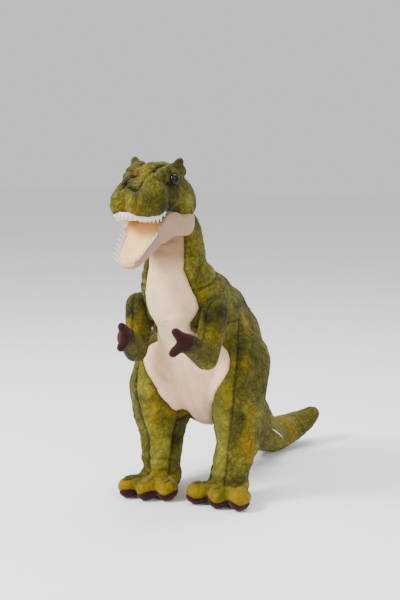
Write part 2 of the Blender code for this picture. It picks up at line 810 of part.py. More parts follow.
def group_at(name, pivot, members, parent):
    """An empty at a joint that carries its pieces."""
    empty = bpy.data.objects.new(name, None)
    empty.empty_display_size = 0.03
    parts.objects.link(empty)
    empty.location = v3(pivot)
    for member in members:
        obj = finished[member]
        obj.data.transform(Matrix.Translation(-v3(pivot)))
        obj.parent = empty
    if parent:
        empty.location = v3(pivot) - parent_places[parent.name]
        empty.parent = parent
    parent_places[name] = v3(pivot)
    return empty


parent_places = {}
sides = ("left", "right")


def both(*stems):
    return [stem + "_" + side for stem in stems for side in sides]


GROUPS = [
    ("neck_turn", NECK_SEAM[0], "dinosaur", both("neck_side") + ["neck_front", "neck_stuffing"]),
    (
        "head_nod",
        HEAD_PIVOT,
        "neck_turn",
        both("head_side", "muzzle", "cheek", "brow_horn", "eye", "eye_washer")
        + ["crown_strip", "palate", "upper_teeth", "head_stuffing"],
    ),
    (
        "jaw_swing",
        head_point((JAW_HINGE[0], 0, JAW_HINGE[1])),
        "head_nod",
        ["jaw_outer", "jaw_lining", "jaw_stuffing", "lower_teeth"],
    ),
    ("tail_wag", TAIL_PIVOT, "dinosaur", both("tail_panel") + ["tail_stuffing", "care_label"]),
]
for side, sign in (("left", 1), ("right", -1)):
    arm_pieces = [stem + "_" + side for stem in ("arm_outer", "arm_inner", "arm_stuffing", "hand")]
    shoulder = (sign * SHOULDER[0], SHOULDER[1], SHOULDER[2])
    GROUPS.append(("arm_swing_" + side, shoulder, "dinosaur", arm_pieces))

moving = {piece for group in GROUPS for piece in group[3]}
still = [name for name in finished if name not in moving]
empties = {"dinosaur": group_at("dinosaur", (0, 0, 0), still, None)}
for name, pivot, parent, members in GROUPS:
    empties[name] = group_at(name, pivot, members, empties[parent])

# The cutters are done with
for tool in list(tools.objects):
    remove(tool)

# The origin is the middle of the object's box, on the ground
bpy.context.view_layer.update()
corners = [
    obj.matrix_world @ Vector(corner) for obj in finished.values() for corner in obj.bound_box
]
low = Vector([min(corner[axis] for corner in corners) for axis in range(3)])
high = Vector([max(corner[axis] for corner in corners) for axis in range(3)])
empties["dinosaur"].location = -Vector(((low.x + high.x) / 2, (low.y + high.y) / 2, low.z))
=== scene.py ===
"""The sewn, stuffed surface of a standing plush theropod dinosaur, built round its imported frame.

Lengths are millimetres in the toy's own frame: it faces -Y, its left is +X, and the origin is on the
ground between the ankles. row() turns them into the frame's metres.
"""

import itertools
import json
import math

import bmesh
import bpy
import numpy as np
from mathutils import Matrix, Vector
from mathutils.kdtree import KDTree


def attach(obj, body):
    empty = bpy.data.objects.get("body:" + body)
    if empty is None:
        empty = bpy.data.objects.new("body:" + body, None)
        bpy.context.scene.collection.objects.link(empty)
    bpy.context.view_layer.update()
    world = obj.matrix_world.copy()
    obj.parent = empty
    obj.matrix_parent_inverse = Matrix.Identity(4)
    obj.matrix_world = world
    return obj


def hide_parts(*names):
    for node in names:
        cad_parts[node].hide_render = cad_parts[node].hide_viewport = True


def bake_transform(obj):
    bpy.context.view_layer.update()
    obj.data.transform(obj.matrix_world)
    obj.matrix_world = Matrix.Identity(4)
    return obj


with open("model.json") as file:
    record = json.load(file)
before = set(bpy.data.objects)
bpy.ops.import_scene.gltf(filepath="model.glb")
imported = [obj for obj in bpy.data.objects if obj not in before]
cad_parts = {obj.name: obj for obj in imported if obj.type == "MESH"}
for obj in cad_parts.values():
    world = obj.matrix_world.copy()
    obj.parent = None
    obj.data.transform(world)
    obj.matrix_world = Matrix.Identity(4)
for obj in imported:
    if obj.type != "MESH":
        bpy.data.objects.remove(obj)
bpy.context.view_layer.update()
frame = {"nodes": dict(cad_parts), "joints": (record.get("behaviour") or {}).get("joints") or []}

MM = 0.001
joints = {joint["name"]: joint for joint in frame["joints"]}
NECK_SEAM = (0, -60, 310)  # where the neck turns, in the toy's own frame
ORIGIN = Vector(joints["neck_turn"]["pos_m"]) - Vector(NECK_SEAM) * MM


def row(point):
    """A point in the frame's metres from the toy's own millimetres."""
    return Vector(point) * MM + ORIGIN


# Camera and light

CAMERA_PLACE = (704.2, -1324.4, 511.0)
CAMERA_AIM = (0, 0, 273.5)
LENS = 66.94
LAMP_AIM = (0, 0, 220)


def linked(name, data):
    """A new object in the scene."""
    obj = bpy.data.objects.new(name, data)
    bpy.context.scene.collection.objects.link(obj)
    return obj


def aimed(name, data, place, aim):
    """A new object at a place, turned to look at a point."""
    obj = linked(name, data)
    obj.location = row(place)
    obj.rotation_mode = "QUATERNION"
    obj.rotation_quaternion = (row(aim) - row(place)).to_track_quat("-Z", "Y")
    return obj


def area_light(name, place, size, watts):
    data = bpy.data.lights.new(name, "AREA")
    data.shape = "DISK"
    data.size = size
    data.energy = watts
    aimed(name, data, place, LAMP_AIM)


camera_data = bpy.data.cameras.new("Camera")
camera_data.lens = LENS
camera_data.sensor_width = 36.0
bpy.context.scene.camera = aimed("Camera", camera_data, CAMERA_PLACE, CAMERA_AIM)
area_light("Key", (-900, -1250, 1450), 0.6, 70)
area_light("Fill", (1500, -900, 900), 1.4, 16)
area_light("Top", (100, 300, 1700), 1.2, 26)

world = bpy.data.worlds.new("Studio")
bpy.context.scene.world = world
world.use_nodes = True
background = world.node_tree.nodes["Background"]
background.inputs["Color"].default_value = (1.0, 1.0, 1.0, 1.0)
background.inputs["Strength"].default_value = 0.8


# The toy's frames

HEAD_YAW = 8.0
NECK_AXIS = (0, -66)
JAW_HINGE = (50, 386)
JAW_DROP = 45.0

yaw = math.radians(HEAD_YAW)
drop = math.radians(JAW_DROP)
HEAD_AXES = np.array(
    [(-math.sin(yaw), -math.cos(yaw), 0), (math.cos(yaw), -math.sin(yaw), 0), (0, 0, 1)]
)
HEAD_BASE = np.array((NECK_AXIS[0], NECK_AXIS[1], 0), float)
JAW_TURN = np.array(
    [(math.cos(drop), 0, -math.sin(drop)), (0, 1, 0), (math.sin(drop), 0, math.cos(drop))]
)
JAW_BASE = np.array((JAW_HINGE[0], 0, JAW_HINGE[1]), float)


def head_point(point):
    """From forward, left and up in the head's frame."""
    return np.asarray(point, float) @ HEAD_AXES + HEAD_BASE


def in_head(points):
    return (points - HEAD_BASE) @ HEAD_AXES.T


def jaw_point(point):
    """From along, left and up in the lower jaw's frame."""
    return head_point(np.asarray(point, float) @ JAW_TURN + JAW_BASE)


def in_jaw(points):
    return (in_head(points) - JAW_BASE) @ JAW_TURN.T


def plain_point(point):
    return np.asarray(point, float)


# Smooth functions and noise over points


def step(value, low, high):
    """Rises smoothly from 0 at low to 1 at high."""
    share = np.clip((value - low) / (high - low), 0, 1)
    return share * share * (3 - 2 * share)


def noise(points, size, seed=0):
    """Smooth noise from -1 to 1 whose lumps are about that many millimetres across."""
    grid = points / size + 31.7 * seed
    cell = np.floor(grid).astype(np.int64)
    share = step(grid - cell, 0, 1)
    total = np.zeros(len(points))
    for corner in itertools.product((0, 1), repeat=3):
        key = cell + corner
        hashed = key[:, 0] * 73856093 ^ key[:, 1] * 19349663 ^ key[:, 2] * 83492791
        hashed = hashed ^ (seed + 11) * 2654435761
        hashed = (hashed ^ (hashed >> 15)) * 2246822519
        hashed = (hashed ^ (hashed >> 13)) * 3266489917
        value = ((hashed ^ (hashed >> 16)) & 0xFFFF) / 32767.5 - 1
        weight = np.prod(np.where(corner, share, 1 - share), axis=1)
        total += value * weight
    return total


def layered(points, size, seed=0, layers=3):
    total = np.zeros(len(points))
    for layer in range(layers):
        total += noise(points, size / 2**layer, seed + layer) / 2**layer
    return total / 1.5


def creases(points, size, seed=0):
    """Thin valleys, 1 at their middle, between flat lumps."""
    return np.exp(-((layered(points, size, seed, 2) / 0.09) ** 2))


# Forms: hulls of ellipsoids, fused


def mesh_from(name, bm):
    """A mesh from a bmesh, which is freed."""
    mesh = bpy.data.meshes.new(name)
    bm.to_mesh(mesh)
    bm.free()
    return mesh


def mesh_of(name, places, triangles):
    """A mesh from places in metres and triangles."""
    mesh = bpy.data.meshes.new(name)
    mesh.from_pydata(places.tolist(), [], triangles.tolist())
    return mesh


def hull(bm, blobs, place=plain_point, axes=None, cuts=()):
    """Adds the convex hull of some ellipsoids, cut off beyond each plane (point, outward normal)."""
    one = bmesh.new()
    turn = Matrix.Identity(4) if axes is None else Matrix(axes.T.tolist()).to_4x4()
    for centre, radii in blobs:
        stretch = Matrix.Diagonal((*(r * MM for r in radii), 1))
        matrix = Matrix.Translation(Vector(place(centre)) * MM) @ turn @ stretch
        bmesh.ops.create_uvsphere(one, u_segments=28, v_segments=16, radius=1.0, matrix=matrix)
    bmesh.ops.delete(one, geom=one.edges[:], context="EDGES_FACES")
    bmesh.ops.convex_hull(one, input=one.verts[:])
    bmesh.ops.delete(one, geom=[v for v in one.verts if not v.link_faces], context="VERTS")
    for point, normal in cuts:
        everything = one.verts[:] + one.edges[:] + one.faces[:]
        sliced = bmesh.ops.bisect_plane(
            one, geom=everything, plane_co=Vector(point) * MM, plane_no=Vector(normal), clear_outer=True
        )
        rim = [e for e in sliced["geom_cut"] if isinstance(e, bmesh.types.BMEdge)]
        bmesh.ops.contextual_create(one, geom=rim)
    bmesh.ops.recalc_face_normals(one, faces=one.faces[:])
    if one.calc_volume(signed=True) < 0:
        bmesh.ops.reverse_faces(one, faces=one.faces[:])
    made = mesh_from("hull", one)
    bm.from_mesh(made)
    bpy.data.meshes.remove(made)


def chain(bm, blobs, place=plain_point, axes=None, cuts=()):
    for pair in zip(blobs, blobs[1:]):
        hull(bm, pair, place, axes, cuts)


def evaluated(obj):
    graph = bpy.context.evaluated_depsgraph_get()
    return bpy.data.meshes.new_from_object(obj.evaluated_get(graph))


def fused(bm, voxel):
    """Points (mm) and triangles of one closed surface round everything in the bmesh."""
    form = linked("form", mesh_from("form", bm))
    remesh = form.modifiers.new("Remesh", "REMESH")
    remesh.mode = "VOXEL"
    remesh.voxel_size = voxel * MM
    form.modifiers.new("Triangulate", "TRIANGULATE")
    bpy.context.view_layer.update()
    mesh = evaluated(form)
    bpy.data.objects.remove(form)
    return read(mesh)


def read(mesh):
    points = np.zeros(len(mesh.vertices) * 3)
    mesh.vertices.foreach_get("co", points)
    mesh.calc_loop_triangles()
    triangles = np.zeros(len(mesh.loop_triangles) * 3, np.int64)
    mesh.loop_triangles.foreach_get("vertices", triangles)
    bpy.data.meshes.remove(mesh)
    return points.reshape(-1, 3) / MM, triangles.reshape(-1, 3)


def sides_of(triangles):
    """The two ends of each triangle's sides, the lower number first."""
    pairs = np.concatenate([triangles[:, [0, 1]], triangles[:, [1, 2]], triangles[:, [2, 0]]])
    return np.sort(pairs, axis=1)


def tree_of(points):
    """The points in a tree that finds the nearest of them."""
    tree = KDTree(len(points))
    for index, point in enumerate(points):
        tree.insert(point, index)
    tree.balance()
    return tree


def relaxed(points, triangles, rounds, strength=0.5):
    """Each point drawn towards the mean of its neighbours; strength may differ from point to point."""
    edges = np.unique(sides_of(triangles), axis=0)
    ends = np.concatenate([edges[:, 0], edges[:, 1]])
    others = np.concatenate([edges[:, 1], edges[:, 0]])
    count = np.bincount(ends, minlength=len(points))[:, None]
    share = np.reshape(strength, (-1, 1))
    for _ in range(rounds):
        total = np.stack(
            [np.bincount(ends, points[others, axis], len(points)) for axis in range(3)], axis=1
        )
        points = points + share * (total / count - points)
    return points


def normals_of(points, triangles):
    a, b, c = (points[triangles[:, corner]] for corner in range(3))
    face = np.cross(b - a, c - a)
    total = np.zeros_like(points)
    for corner in range(3):
        for axis in range(3):
            total[:, axis] += np.bincount(triangles[:, corner], face[:, axis], len(points))
    return total / np.maximum(np.linalg.norm(total, axis=1, keepdims=True), 1e-12)


def cut(points, triangles, level):
    """Adds points where the function level is 0, so that no triangle lies on both sides of it."""
    values = level(points)
    values[np.abs(values) < 0.05] = 0
    signs = np.sign(values)
    of_triangle = signs[triangles]
    crossing = (of_triangle.max(axis=1) > 0) & (of_triangle.min(axis=1) < 0)
    added, found, made = [], {}, []

    def between(a, b):
        key = (min(a, b), max(a, b))
        if key not in found:
            share = values[a] / (values[a] - values[b])
            found[key] = len(points) + len(added)
            added.append(points[a] + share * (points[b] - points[a]))
        return found[key]

    for corners in triangles[crossing].tolist():
        side = [signs[v] for v in corners]
        lone = side.index(0) if 0 in side else [side.count(s) for s in side].index(1)
        a, b, c = corners[lone:] + corners[:lone]
        if 0 in side:
            middle = between(b, c)
            made += [(a, b, middle), (a, middle, c)]
        else:
            first, second = between(a, b), between(a, c)
            made += [(a, first, second), (first, b, c), (first, c, second)]
    if not added:
        return points, triangles
    return np.vstack([points, added]), np.vstack([triangles[~crossing], made])


def plane(point, normal):
    """A function that is the height over a plane, in millimetres."""
    point, normal = np.array(point, float), np.array(normal, float)
    normal = normal / np.linalg.norm(normal)
    return lambda points: (points - point) @ normal


def inside(*levels):
    """A function that is negative where all of these are."""
    return lambda points: np.max([level(points) for level in levels], axis=0)


def sided(level):
    """The same function on both sides of the toy."""
    return lambda points: level(np.column_stack([np.abs(points[:, 0]), points[:, 1:]]))


def fold(points, centre, across, width, extent, depth):
    """How far a fold sinks: a valley square to the direction across, of that width and extent."""
    centre, across = np.array(centre, float), np.array(across, float)
    across = across / np.linalg.norm(across)
    offset = points - centre
    distance = offset @ across
    along = np.linalg.norm(offset - distance[:, None] * across, axis=1)
    return depth * np.exp(-((distance / width) ** 2)) * np.exp(-((along / extent) ** 2))


# Colours


def srgb(red, green, blue):
    """Linear colour from the usual 0 to 255 values."""
    share = np.array((red, green, blue), float) / 255
    return np.where(share <= 0.04045, share / 12.92, ((share + 0.055) / 1.055) ** 2.4)


OLIVE = srgb(74, 71, 9)
DARK_OLIVE = srgb(40, 39, 5)
BROWN = srgb(52, 38, 8)
LEAF = srgb(94, 89, 13)
PALE_LEAF = srgb(122, 118, 40)
MUSTARD = srgb(132, 108, 1)
BEIGE = srgb(218, 184, 150)
TAN = srgb(146, 112, 80)
PINK_BEIGE = srgb(154, 128, 108)
MAROON = srgb(44, 18, 18)
PEACH = srgb(238, 190, 128)
# Painted shade deep in the mouth, at the back of the palate and at the back and sides of the lining.
MOUTH_SHADE = srgb(196, 134, 74)
IVORY = srgb(214, 192, 160)
TOOTH_WHITE = srgb(208, 208, 204)


def mixed(first, second, share):
    return first + (second - first) * np.reshape(share, (-1, 1))


CLOUDS = [
    # colour, its share, size in mm, seed, how the light moves it, and where the noise starts and ends it
    (LEAF, 1.0, 46, 1, 1.0, -0.25, 0.45),
    (DARK_OLIVE, 0.85, 24, 5, -1.0, 0.12, 0.6),
    (MUSTARD, 0.7, 34, 13, 0.4, 0.18, 0.6),
    (PALE_LEAF, 0.6, 30, 21, 1.0, 0.28, 0.7),
    (BROWN, 0.45, 12, 9, 0.0, 0.3, 0.75),
]


def mottled(points, seed=0, light=0.0):
    """Airbrushed green: olive clouds with leaf green, mustard and dark brown in them."""
    colour = OLIVE
    for tint, share, size, number, lighter, low, high in CLOUDS:
        cloud = layered(points, size, seed + number) + lighter * light
        colour = mixed(colour, tint, share * step(cloud, low, high))
    return colour


def patch(points, centre, radius):
    """1 at a centre and 0 beyond about its radius."""
    offset = (points - np.array(centre, float)) / np.array(radius, float)
    return np.exp(-2.0 * (offset**2).sum(axis=1))


# Materials


class Nodes:
    """A short way to write a material's nodes."""

    def __init__(self, name, roughness, specular=0.3):
        self.material = bpy.data.materials.new(name)
        self.material.use_nodes = True
        self.tree = self.material.node_tree
        self.shader = self.tree.nodes["Principled BSDF"]
        self.set(self.shader, {"Roughness": roughness, "Specular IOR Level": specular})

    def set(self, node, inputs):
        for key, value in inputs.items():
            if isinstance(value, bpy.types.NodeSocket):
                self.tree.links.new(value, node.inputs[key])
            else:
                node.inputs[key].default_value = value
        return node

    def add(self, kind, inputs=None, **settings):
        node = self.tree.nodes.new("ShaderNode" + kind)
        for key, value in settings.items():
            setattr(node, key, value)
        return self.set(node, inputs or {})

    def attribute(self, name, output="Fac"):
        return self.add("Attribute", attribute_name=name).outputs[output]

    def rest(self):
        """Place on the surface at rest, in metres."""
        return self.attribute("rest", "Vector")

    def noise(self, vector, scale, detail=3.0, roughness=0.6):
        inputs = {"Vector": vector, "Scale": scale, "Detail": detail, "Roughness": roughness}
        return self.add("TexNoise", inputs).outputs["Fac"]

    def ramp(self, value, *stops):
        """A value remapped through (position, grey) stops."""
        node = self.add("ValToRGB", {"Fac": value})
        marks = node.color_ramp.elements
        while len(marks) < len(stops):
            marks.new(0.5)
        for mark, (position, grey) in zip(marks, stops):
            mark.position = position
            mark.color = (grey, grey, grey, 1)
        return node.outputs["Color"]

    def maths(self, operation, first, second):
        return self.add("Math", {0: first, 1: second}, operation=operation).outputs[0]

    def mix(self, colour, other, share, blend="MIX"):
        inputs = {"Factor": share, 6: colour, 7: other}
        return self.add("Mix", inputs, data_type="RGBA", blend_type=blend).outputs[2]

    def times(self, colour, other):
        return self.mix(colour, other, 1.0, "MULTIPLY")

    def dimmed(self, colour, tint, share):
        """The colour multiplied by a tint, as far as the share says."""
        return self.mix(colour, self.times(colour, (*tint, 1)), share)

    def bump(self, height, strength, distance, normal=None):
        inputs = {"Height": height, "Strength": strength, "Distance": distance}
        if normal is not None:
            inputs["Normal"] = normal
        return self.add("Bump", inputs).outputs["Normal"]

    def done(self, inputs):
        """The material, once the shader has its inputs."""
        self.set(self.shader, inputs)
        return self.material


def plush(name, scales, veins, scale_size=9.0, dark=0.55):
    """Short plush: airbrushed paint, embossed scales and veins with painted shade in their lines and along
    the seams, and a fine pile that catches light.
    """
    nodes = Nodes(name, 0.92, 0.15)
    place = nodes.rest()
    wander = nodes.add("TexNoise", {"Vector": place, "Scale": 70.0, "Detail": 2.0}).outputs["Color"]
    sway = nodes.add("VectorMath", {0: wander, 1: (0.016, 0.016, 0.016)}, operation="MULTIPLY")
    warped = nodes.add("VectorMath", {0: place, 1: sway.outputs[0]}, operation="ADD").outputs[0]
    cells = {"Vector": warped, "Scale": 1000 / scale_size}
    cell = nodes.add("TexVoronoi", cells, feature="DISTANCE_TO_EDGE").outputs["Distance"]
    lines = nodes.ramp(cell, (0.0, 1.0), (0.10, 0.35), (0.30, 0.0))
    vein = nodes.noise(warped, 105.0, 3.0, 0.55)
    vein = nodes.ramp(vein, (0.40, 0.0), (0.485, 1.0), (0.515, 1.0), (0.60, 0.0))
    clouds = nodes.ramp(nodes.noise(place, 160.0, 4.0, 0.65), (0.30, 0.72), (0.70, 1.22))
    fibres = nodes.noise(place, 900.0, 3.0, 0.7)
    shade = nodes.ramp(fibres, (0.30, 0.72), (0.70, 1.25))
    lines = nodes.maths("MULTIPLY", lines, scales)
    relief = nodes.maths("MAXIMUM", lines, nodes.maths("MULTIPLY", vein, veins))
    colour = nodes.times(nodes.attribute("paint", "Color"), clouds)
    colour = nodes.mix(colour, shade, 0.8, "MULTIPLY")
    # Painted shade in the embossed creases: the scale lines and veins darken the colour, as deep as dark
    # says.
    colour = nodes.dimmed(colour, (dark * 0.7, dark * 0.65, dark * 0.45), relief)
    # Painted shade in the seams' grooves.
    seam = nodes.maths("MULTIPLY", nodes.attribute("seam"), 0.85)
    colour = nodes.dimmed(colour, (0.36, 0.33, 0.28), seam)
    normal = nodes.bump(nodes.maths("SUBTRACT", 1.0, relief), 0.75, 0.0018)
    normal = nodes.bump(fibres, 0.35, 0.0006, normal)
    sheen = {"Sheen Weight": 0.08, "Sheen Roughness": 0.45, "Sheen Tint": (0.9, 0.92, 0.7, 1)}
    return nodes.done({"Base Color": colour, "Normal": normal, **sheen})


def velour(name, tint, wrinkles=0.3):
    """Smooth short-pile cloth: painted shading, also in the seams' grooves, soft mottling and a fine nap.
    """
    nodes = Nodes(name, 0.95, 0.12)
    place = nodes.rest()
    clouds = nodes.ramp(nodes.noise(place, 60.0, 3.0), (0.3, 0.93), (0.7, 1.05))
    nap = nodes.noise(place, 1100.0, 2.0, 0.7)
    shade = nodes.ramp(nap, (0.3, 0.88), (0.7, 1.08))
    colour = nodes.times(nodes.times(nodes.attribute("paint", "Color"), clouds), shade)
    # Painted shade in the seams' grooves.
    seam = nodes.maths("MULTIPLY", nodes.attribute("seam"), 0.6)
    colour = nodes.dimmed(colour, (0.5, 0.4, 0.32), seam)
    normal = nodes.bump(nodes.noise(place, 130.0, 3.0, 0.5), wrinkles, 0.0015)
    normal = nodes.bump(nap, 0.25, 0.0004, normal)
    sheen = {"Sheen Weight": 0.12, "Sheen Roughness": 0.5, "Sheen Tint": (*tint, 1)}
    return nodes.done({"Base Color": colour, "Normal": normal, **sheen})


def flecked(name, colour, finish, grain, greys, bump, sheen=0.0):
    """One colour under a fine grain, which also roughens it."""
    nodes = Nodes(name, *finish)
    fleck = nodes.noise(nodes.add("TexCoord").outputs["Object"], *grain)
    shade = nodes.ramp(fleck, (0.3, greys[0]), (0.7, greys[1]))
    colour = nodes.times((*colour, 1), shade)
    normal = nodes.bump(fleck, *bump)
    return nodes.done({"Base Color": colour, "Normal": normal, "Sheen Weight": sheen})


def felt(name, colour, scale):
    return flecked(name, colour, (0.95, 0.1), (scale, 4.0, 0.75), (0.80, 1.0), (0.4, 0.0005), 0.15)


def moulded(name, colour, roughness):
    """Moulded plastic: faint flow marks and grain."""
    return flecked(name, colour, (roughness, 0.5), (420.0, 2.0), (0.9, 1.05), (0.05, 0.0003))


def eye_glass():
    """A polished eye: a brown iris ring round a black pupil, painted by distance from its middle."""
    nodes = Nodes("eye_plastic", 0.1, 0.16)
    streaks = nodes.noise(nodes.rest(), 1600.0, 2.0)
    ring = nodes.ramp(nodes.attribute("radius"), (0.52, 0.0), (0.60, 1.0), (0.80, 0.9), (0.90, 0.0))
    brown = nodes.mix((*srgb(22, 13, 7), 1), (*srgb(48, 31, 17), 1), streaks)
    return nodes.done({"Base Color": nodes.mix((0.004, 0.004, 0.005, 1), brown, ring)})


FINISHES = {
    # finish: the slot's name and the material
    "green": ("green_plush", plush("green_plush", 0.55, 0.8)),
    "scaly": ("green_plush", plush("scaly_plush", 0.9, 0.5, scale_size=11.0)),
    "front": ("leg_front_plush", plush("leg_front_plush", 0.4, 0.6, scale_size=13.0, dark=0.65)),
    "toe": ("toe_plush", plush("toe_plush", 0.15, 0.35, dark=0.7)),
    "beige": ("beige_plush", velour("beige_plush", (1.0, 0.95, 0.9))),
    "jaw": ("jaw_plush", velour("jaw_plush", (1.0, 0.93, 0.9))),
    "mouth": ("mouth_plush", velour("mouth_plush", (1.0, 0.85, 0.7), wrinkles=0.1)),
    "maroon": ("maroon_plush", velour("maroon_plush", (0.8, 0.5, 0.5))),
    "felt": ("felt", felt("white_felt", TOOTH_WHITE, 800.0)),
    "tape": ("label_tape", felt("woven_tape", srgb(240, 240, 240), 500.0)),
    "eye": ("eye_plastic", eye_glass()),
    "washer": ("washer_plastic", moulded("washer_plastic", srgb(225, 225, 220), 0.4)),
}


def piece(name, points, triangles, finish, nodes, normals=None, **values):
    """A shown piece with its finish, standing for some CAD nodes; values are numbers for each point."""
    used, local = np.unique(triangles, return_inverse=True)
    local = local.reshape(-1, 3)
    mesh = mesh_of(name, points[used] * MM + np.array(ORIGIN), local)
    mesh.polygons.foreach_set("use_smooth", np.ones(len(local), bool))
    for key, value in values.items():
        value = value[used]
        kind = "FLOAT" if value.ndim == 1 else {"rest": "FLOAT_VECTOR"}.get(key, "FLOAT_COLOR")
        attribute = mesh.attributes.new(key, kind, "POINT")
        if kind == "FLOAT_COLOR":
            value = np.column_stack([value, np.ones(len(value))])
        field = {"FLOAT": "value", "FLOAT_VECTOR": "vector", "FLOAT_COLOR": "color"}[kind]
        attribute.data.foreach_set(field, value.astype(np.float32).ravel())
    if normals is not None:
        mesh.normals_split_custom_set_from_vertices(normals[used].tolist())
    slot, material = FINISHES[finish]
    mesh.materials.append(material)
    obj = linked(name, mesh)
    if nodes:
        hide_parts(*nodes)
    return obj


# The sewn form: torso, neck, upper head, legs and tail in one surface

TORSO = [
    ((0, -66, 376), (31, 30, 26)),
    ((0, -67, 350), (38, 33, 20)),
    ((0, -67, 327), (44, 34, 22)),
    ((0, -46, 298), (58, 52, 28)),
    ((0, -12, 266), (60, 81, 34)),
    ((0, 21, 228), (64, 84, 38)),
    ((0, 40, 190), (66, 86, 40)),
    ((0, 52, 150), (62, 77, 40)),
    ((0, 50, 121), (45, 55, 32)),
]
LEGS = {
    1: [
        ((58, 12, 184), (32, 50, 48)),
        ((58, 4, 150), (34, 50, 40)),
        ((59, 2, 110), (33, 42, 30)),
        ((59, 0, 85), (30, 34, 25)),
        ((53, -14, 44), (26, 27, 18)),
    ],
    -1: [
        ((-61, 12, 184), (36, 56, 48)),
        ((-61, 3, 150), (43, 54, 40)),
        ((-61, 0, 110), (38, 43, 30)),
        ((-60, -2, 85), (32, 34, 25)),
        ((-54, -14, 44), (27, 27, 18)),
    ],
}
FOOT_MIDDLE = 53  # how far to the side each foot's middle is
HEEL = ((53, -4, 18), (24, 22, 18))
TOES = {
    1: [(15, -40), (50, -43), (80, -38)],
    -1: [(-26, -48), (-52, -60), (-80, -61)],
}
TAIL = [
    ((0, 92, 135), (44, 42, 46)),
    ((0, 140, 86), (36, 36, 40)),
    ((2, 190, 42), (28, 30, 29)),
    ((5, 236, 27), (26, 26, 27)),
    ((15, 268, 28), (24, 24, 23)),
    ((31, 293, 38), (18, 18, 18)),
    ((42, 306, 49), (12, 12, 12)),
]
SKULL = [((20, 0, 412), (36, 37, 37)), ((28, 0, 399), (33, 41, 24))]
FOREHEAD = [((27, 0, 427), (27, 30, 35)), ((47, 0, 438), (22, 27, 24))]
SNOUT = [((36, 0, 420), (26, 36, 30)), ((62, 0, 414), (18, 34, 26))]
NOSE_LOBES = [((68, 18, 422), (20, 19, 22)), ((92, 12, 414), (15, 17, 17))]
NOSE_RIDGE = [((58, 0, 434), (16, 9, 12)), ((90, 0, 424), (15, 12, 12))]
BROW = [((37, 30, 453), (12, 8, 10)), ((58, 27, 449), (9, 8, 8)), ((79, 13, 437), (8, 7, 7))]
PALATE_BULGE = 9.0  # how far the padded palate bulges below the lips
LIP_HANG = 5.0  # how much lower the upper lip hangs at its sides than at its middle
PALATE_LEVEL = 402.0
FINE = 2.1  # spacing of the fine surface's points


def mirrored(blobs, sign=-1):
    """Blobs of the head or jaw, on the other side where the sign is -1."""
    return [((c[0], sign * c[1], c[2]), r) for c, r in blobs]


def main_form():
    bm = bmesh.new()
    chain(bm, TORSO)
    chain(bm, TAIL)
    for side in (1, -1):
        leg = LEGS[side]
        chain(bm, leg)
        heel = ((side * HEEL[0][0], HEEL[0][1], HEEL[0][2]), HEEL[1])
        hull(bm, [leg[-1], heel])
        for x, y in TOES[side]:
            middle = ((x + side * FOOT_MIDDLE) / 2, (y - 14) / 2 - 2, 17)
            instep = (side * FOOT_MIDDLE * 0.6 + x * 0.4, -12, 32)
            hull(bm, [(instep, (15, 16, 14)), (middle, (13, 14, 15)), heel])
            hull(bm, [(middle, (12, 14, 14)), ((x, y + 2, 15), (13.8, 19, 15.5))])
    above = [(head_point((0, 0, PALATE_LEVEL)), (0, 0, -1))]
    behind = [(head_point((41, 0, 0)), HEAD_AXES[0])]
    for cuts in (above, behind):
        chain(bm, SKULL, head_point, HEAD_AXES, cuts)
    for blobs in (FOREHEAD, SNOUT, NOSE_RIDGE, NOSE_LOBES, mirrored(NOSE_LOBES)):
        chain(bm, blobs, head_point, HEAD_AXES, above)
    for brow in (BROW, mirrored(BROW)):
        chain(bm, brow, head_point, HEAD_AXES)
    points, triangles = fused(bm, FINE)
    fine_parts = np.maximum(step(points[:, 2], 384, 404), 1 - step(points[:, 2], 34, 60))
    points = relaxed(points, triangles, 26, 0.5 * (1 - 0.92 * fine_parts))
    points[:, 2] = np.maximum(points[:, 2], 0)
    return points, triangles


def hang(forward, left):
    """How far the upper lip hangs below the palate's level."""
    rise = 1 - 0.4 * step(forward, 84, 104)
    return LIP_HANG * step(np.abs(left), 8, 20) * step(forward, 58, 72) * rise


def hung(points):
    """The form with the muzzle's sides drawn down into lips."""
    head = in_head(points)
    share = step(points[:, 2], 390, 398) * (1 - step(points[:, 2], 414, 434)) * step(head[:, 0], 50, 60)
    lower = points.copy()
    lower[:, 2] -= share * hang(head[:, 0], head[:, 1])
    across = np.clip(1 - (head[:, 1] / 27) ** 2, 0, 1)
    under = across * step(head[:, 0], 42, 58) * (1 - step(head[:, 0], 90, 106))
    flat = (1 - step(points[:, 2], 402, 406)) * step(points[:, 2], 388, 396)
    lower[:, 2] -= PALATE_BULGE * under * flat
    return lower


# Seams of the main form

CENTRE_LINE = ([80, 121, 150, 190, 228, 266, 298, 327, 376], [50, 50, 52, 40, 21, -12, -46, -67, -66])
BELLY_EDGE = (
    [80, 100, 131, 154, 165, 178, 190, 203, 214, 222, 230, 238, 246, 256, 266, 276, 293, 310, 324, 400],
    [14, 20, 21, 24, 28, 34, 39, 43, 45, 42, 32, 23, 18, 20, 28, 36, 41, 42, 44, 52],
)


def belly_level(points):
    """Below 0 on the pale front, whose half-width is an angle round the body's centre line."""
    centre = np.interp(points[:, 2], *CENTRE_LINE)
    reach = np.hypot(points[:, 0], points[:, 1] - centre)
    angle = np.degrees(np.arctan2(np.abs(points[:, 0]), centre - points[:, 1]))
    return (angle - np.interp(points[:, 2], *BELLY_EDGE)) * np.radians(1) * reach


def head_level(axis, place, sign=1):
    """Below 0 past a place on one of the head's axes."""
    return lambda points: sign * (in_head(points)[:, axis] - place)


def sole_level(points):
    """The wavy upper edge of the dark soles."""
    return points[:, 2] - 13.5 - 2.5 * np.sin(points[:, 0] / 5.2) * np.sign(points[:, 0])


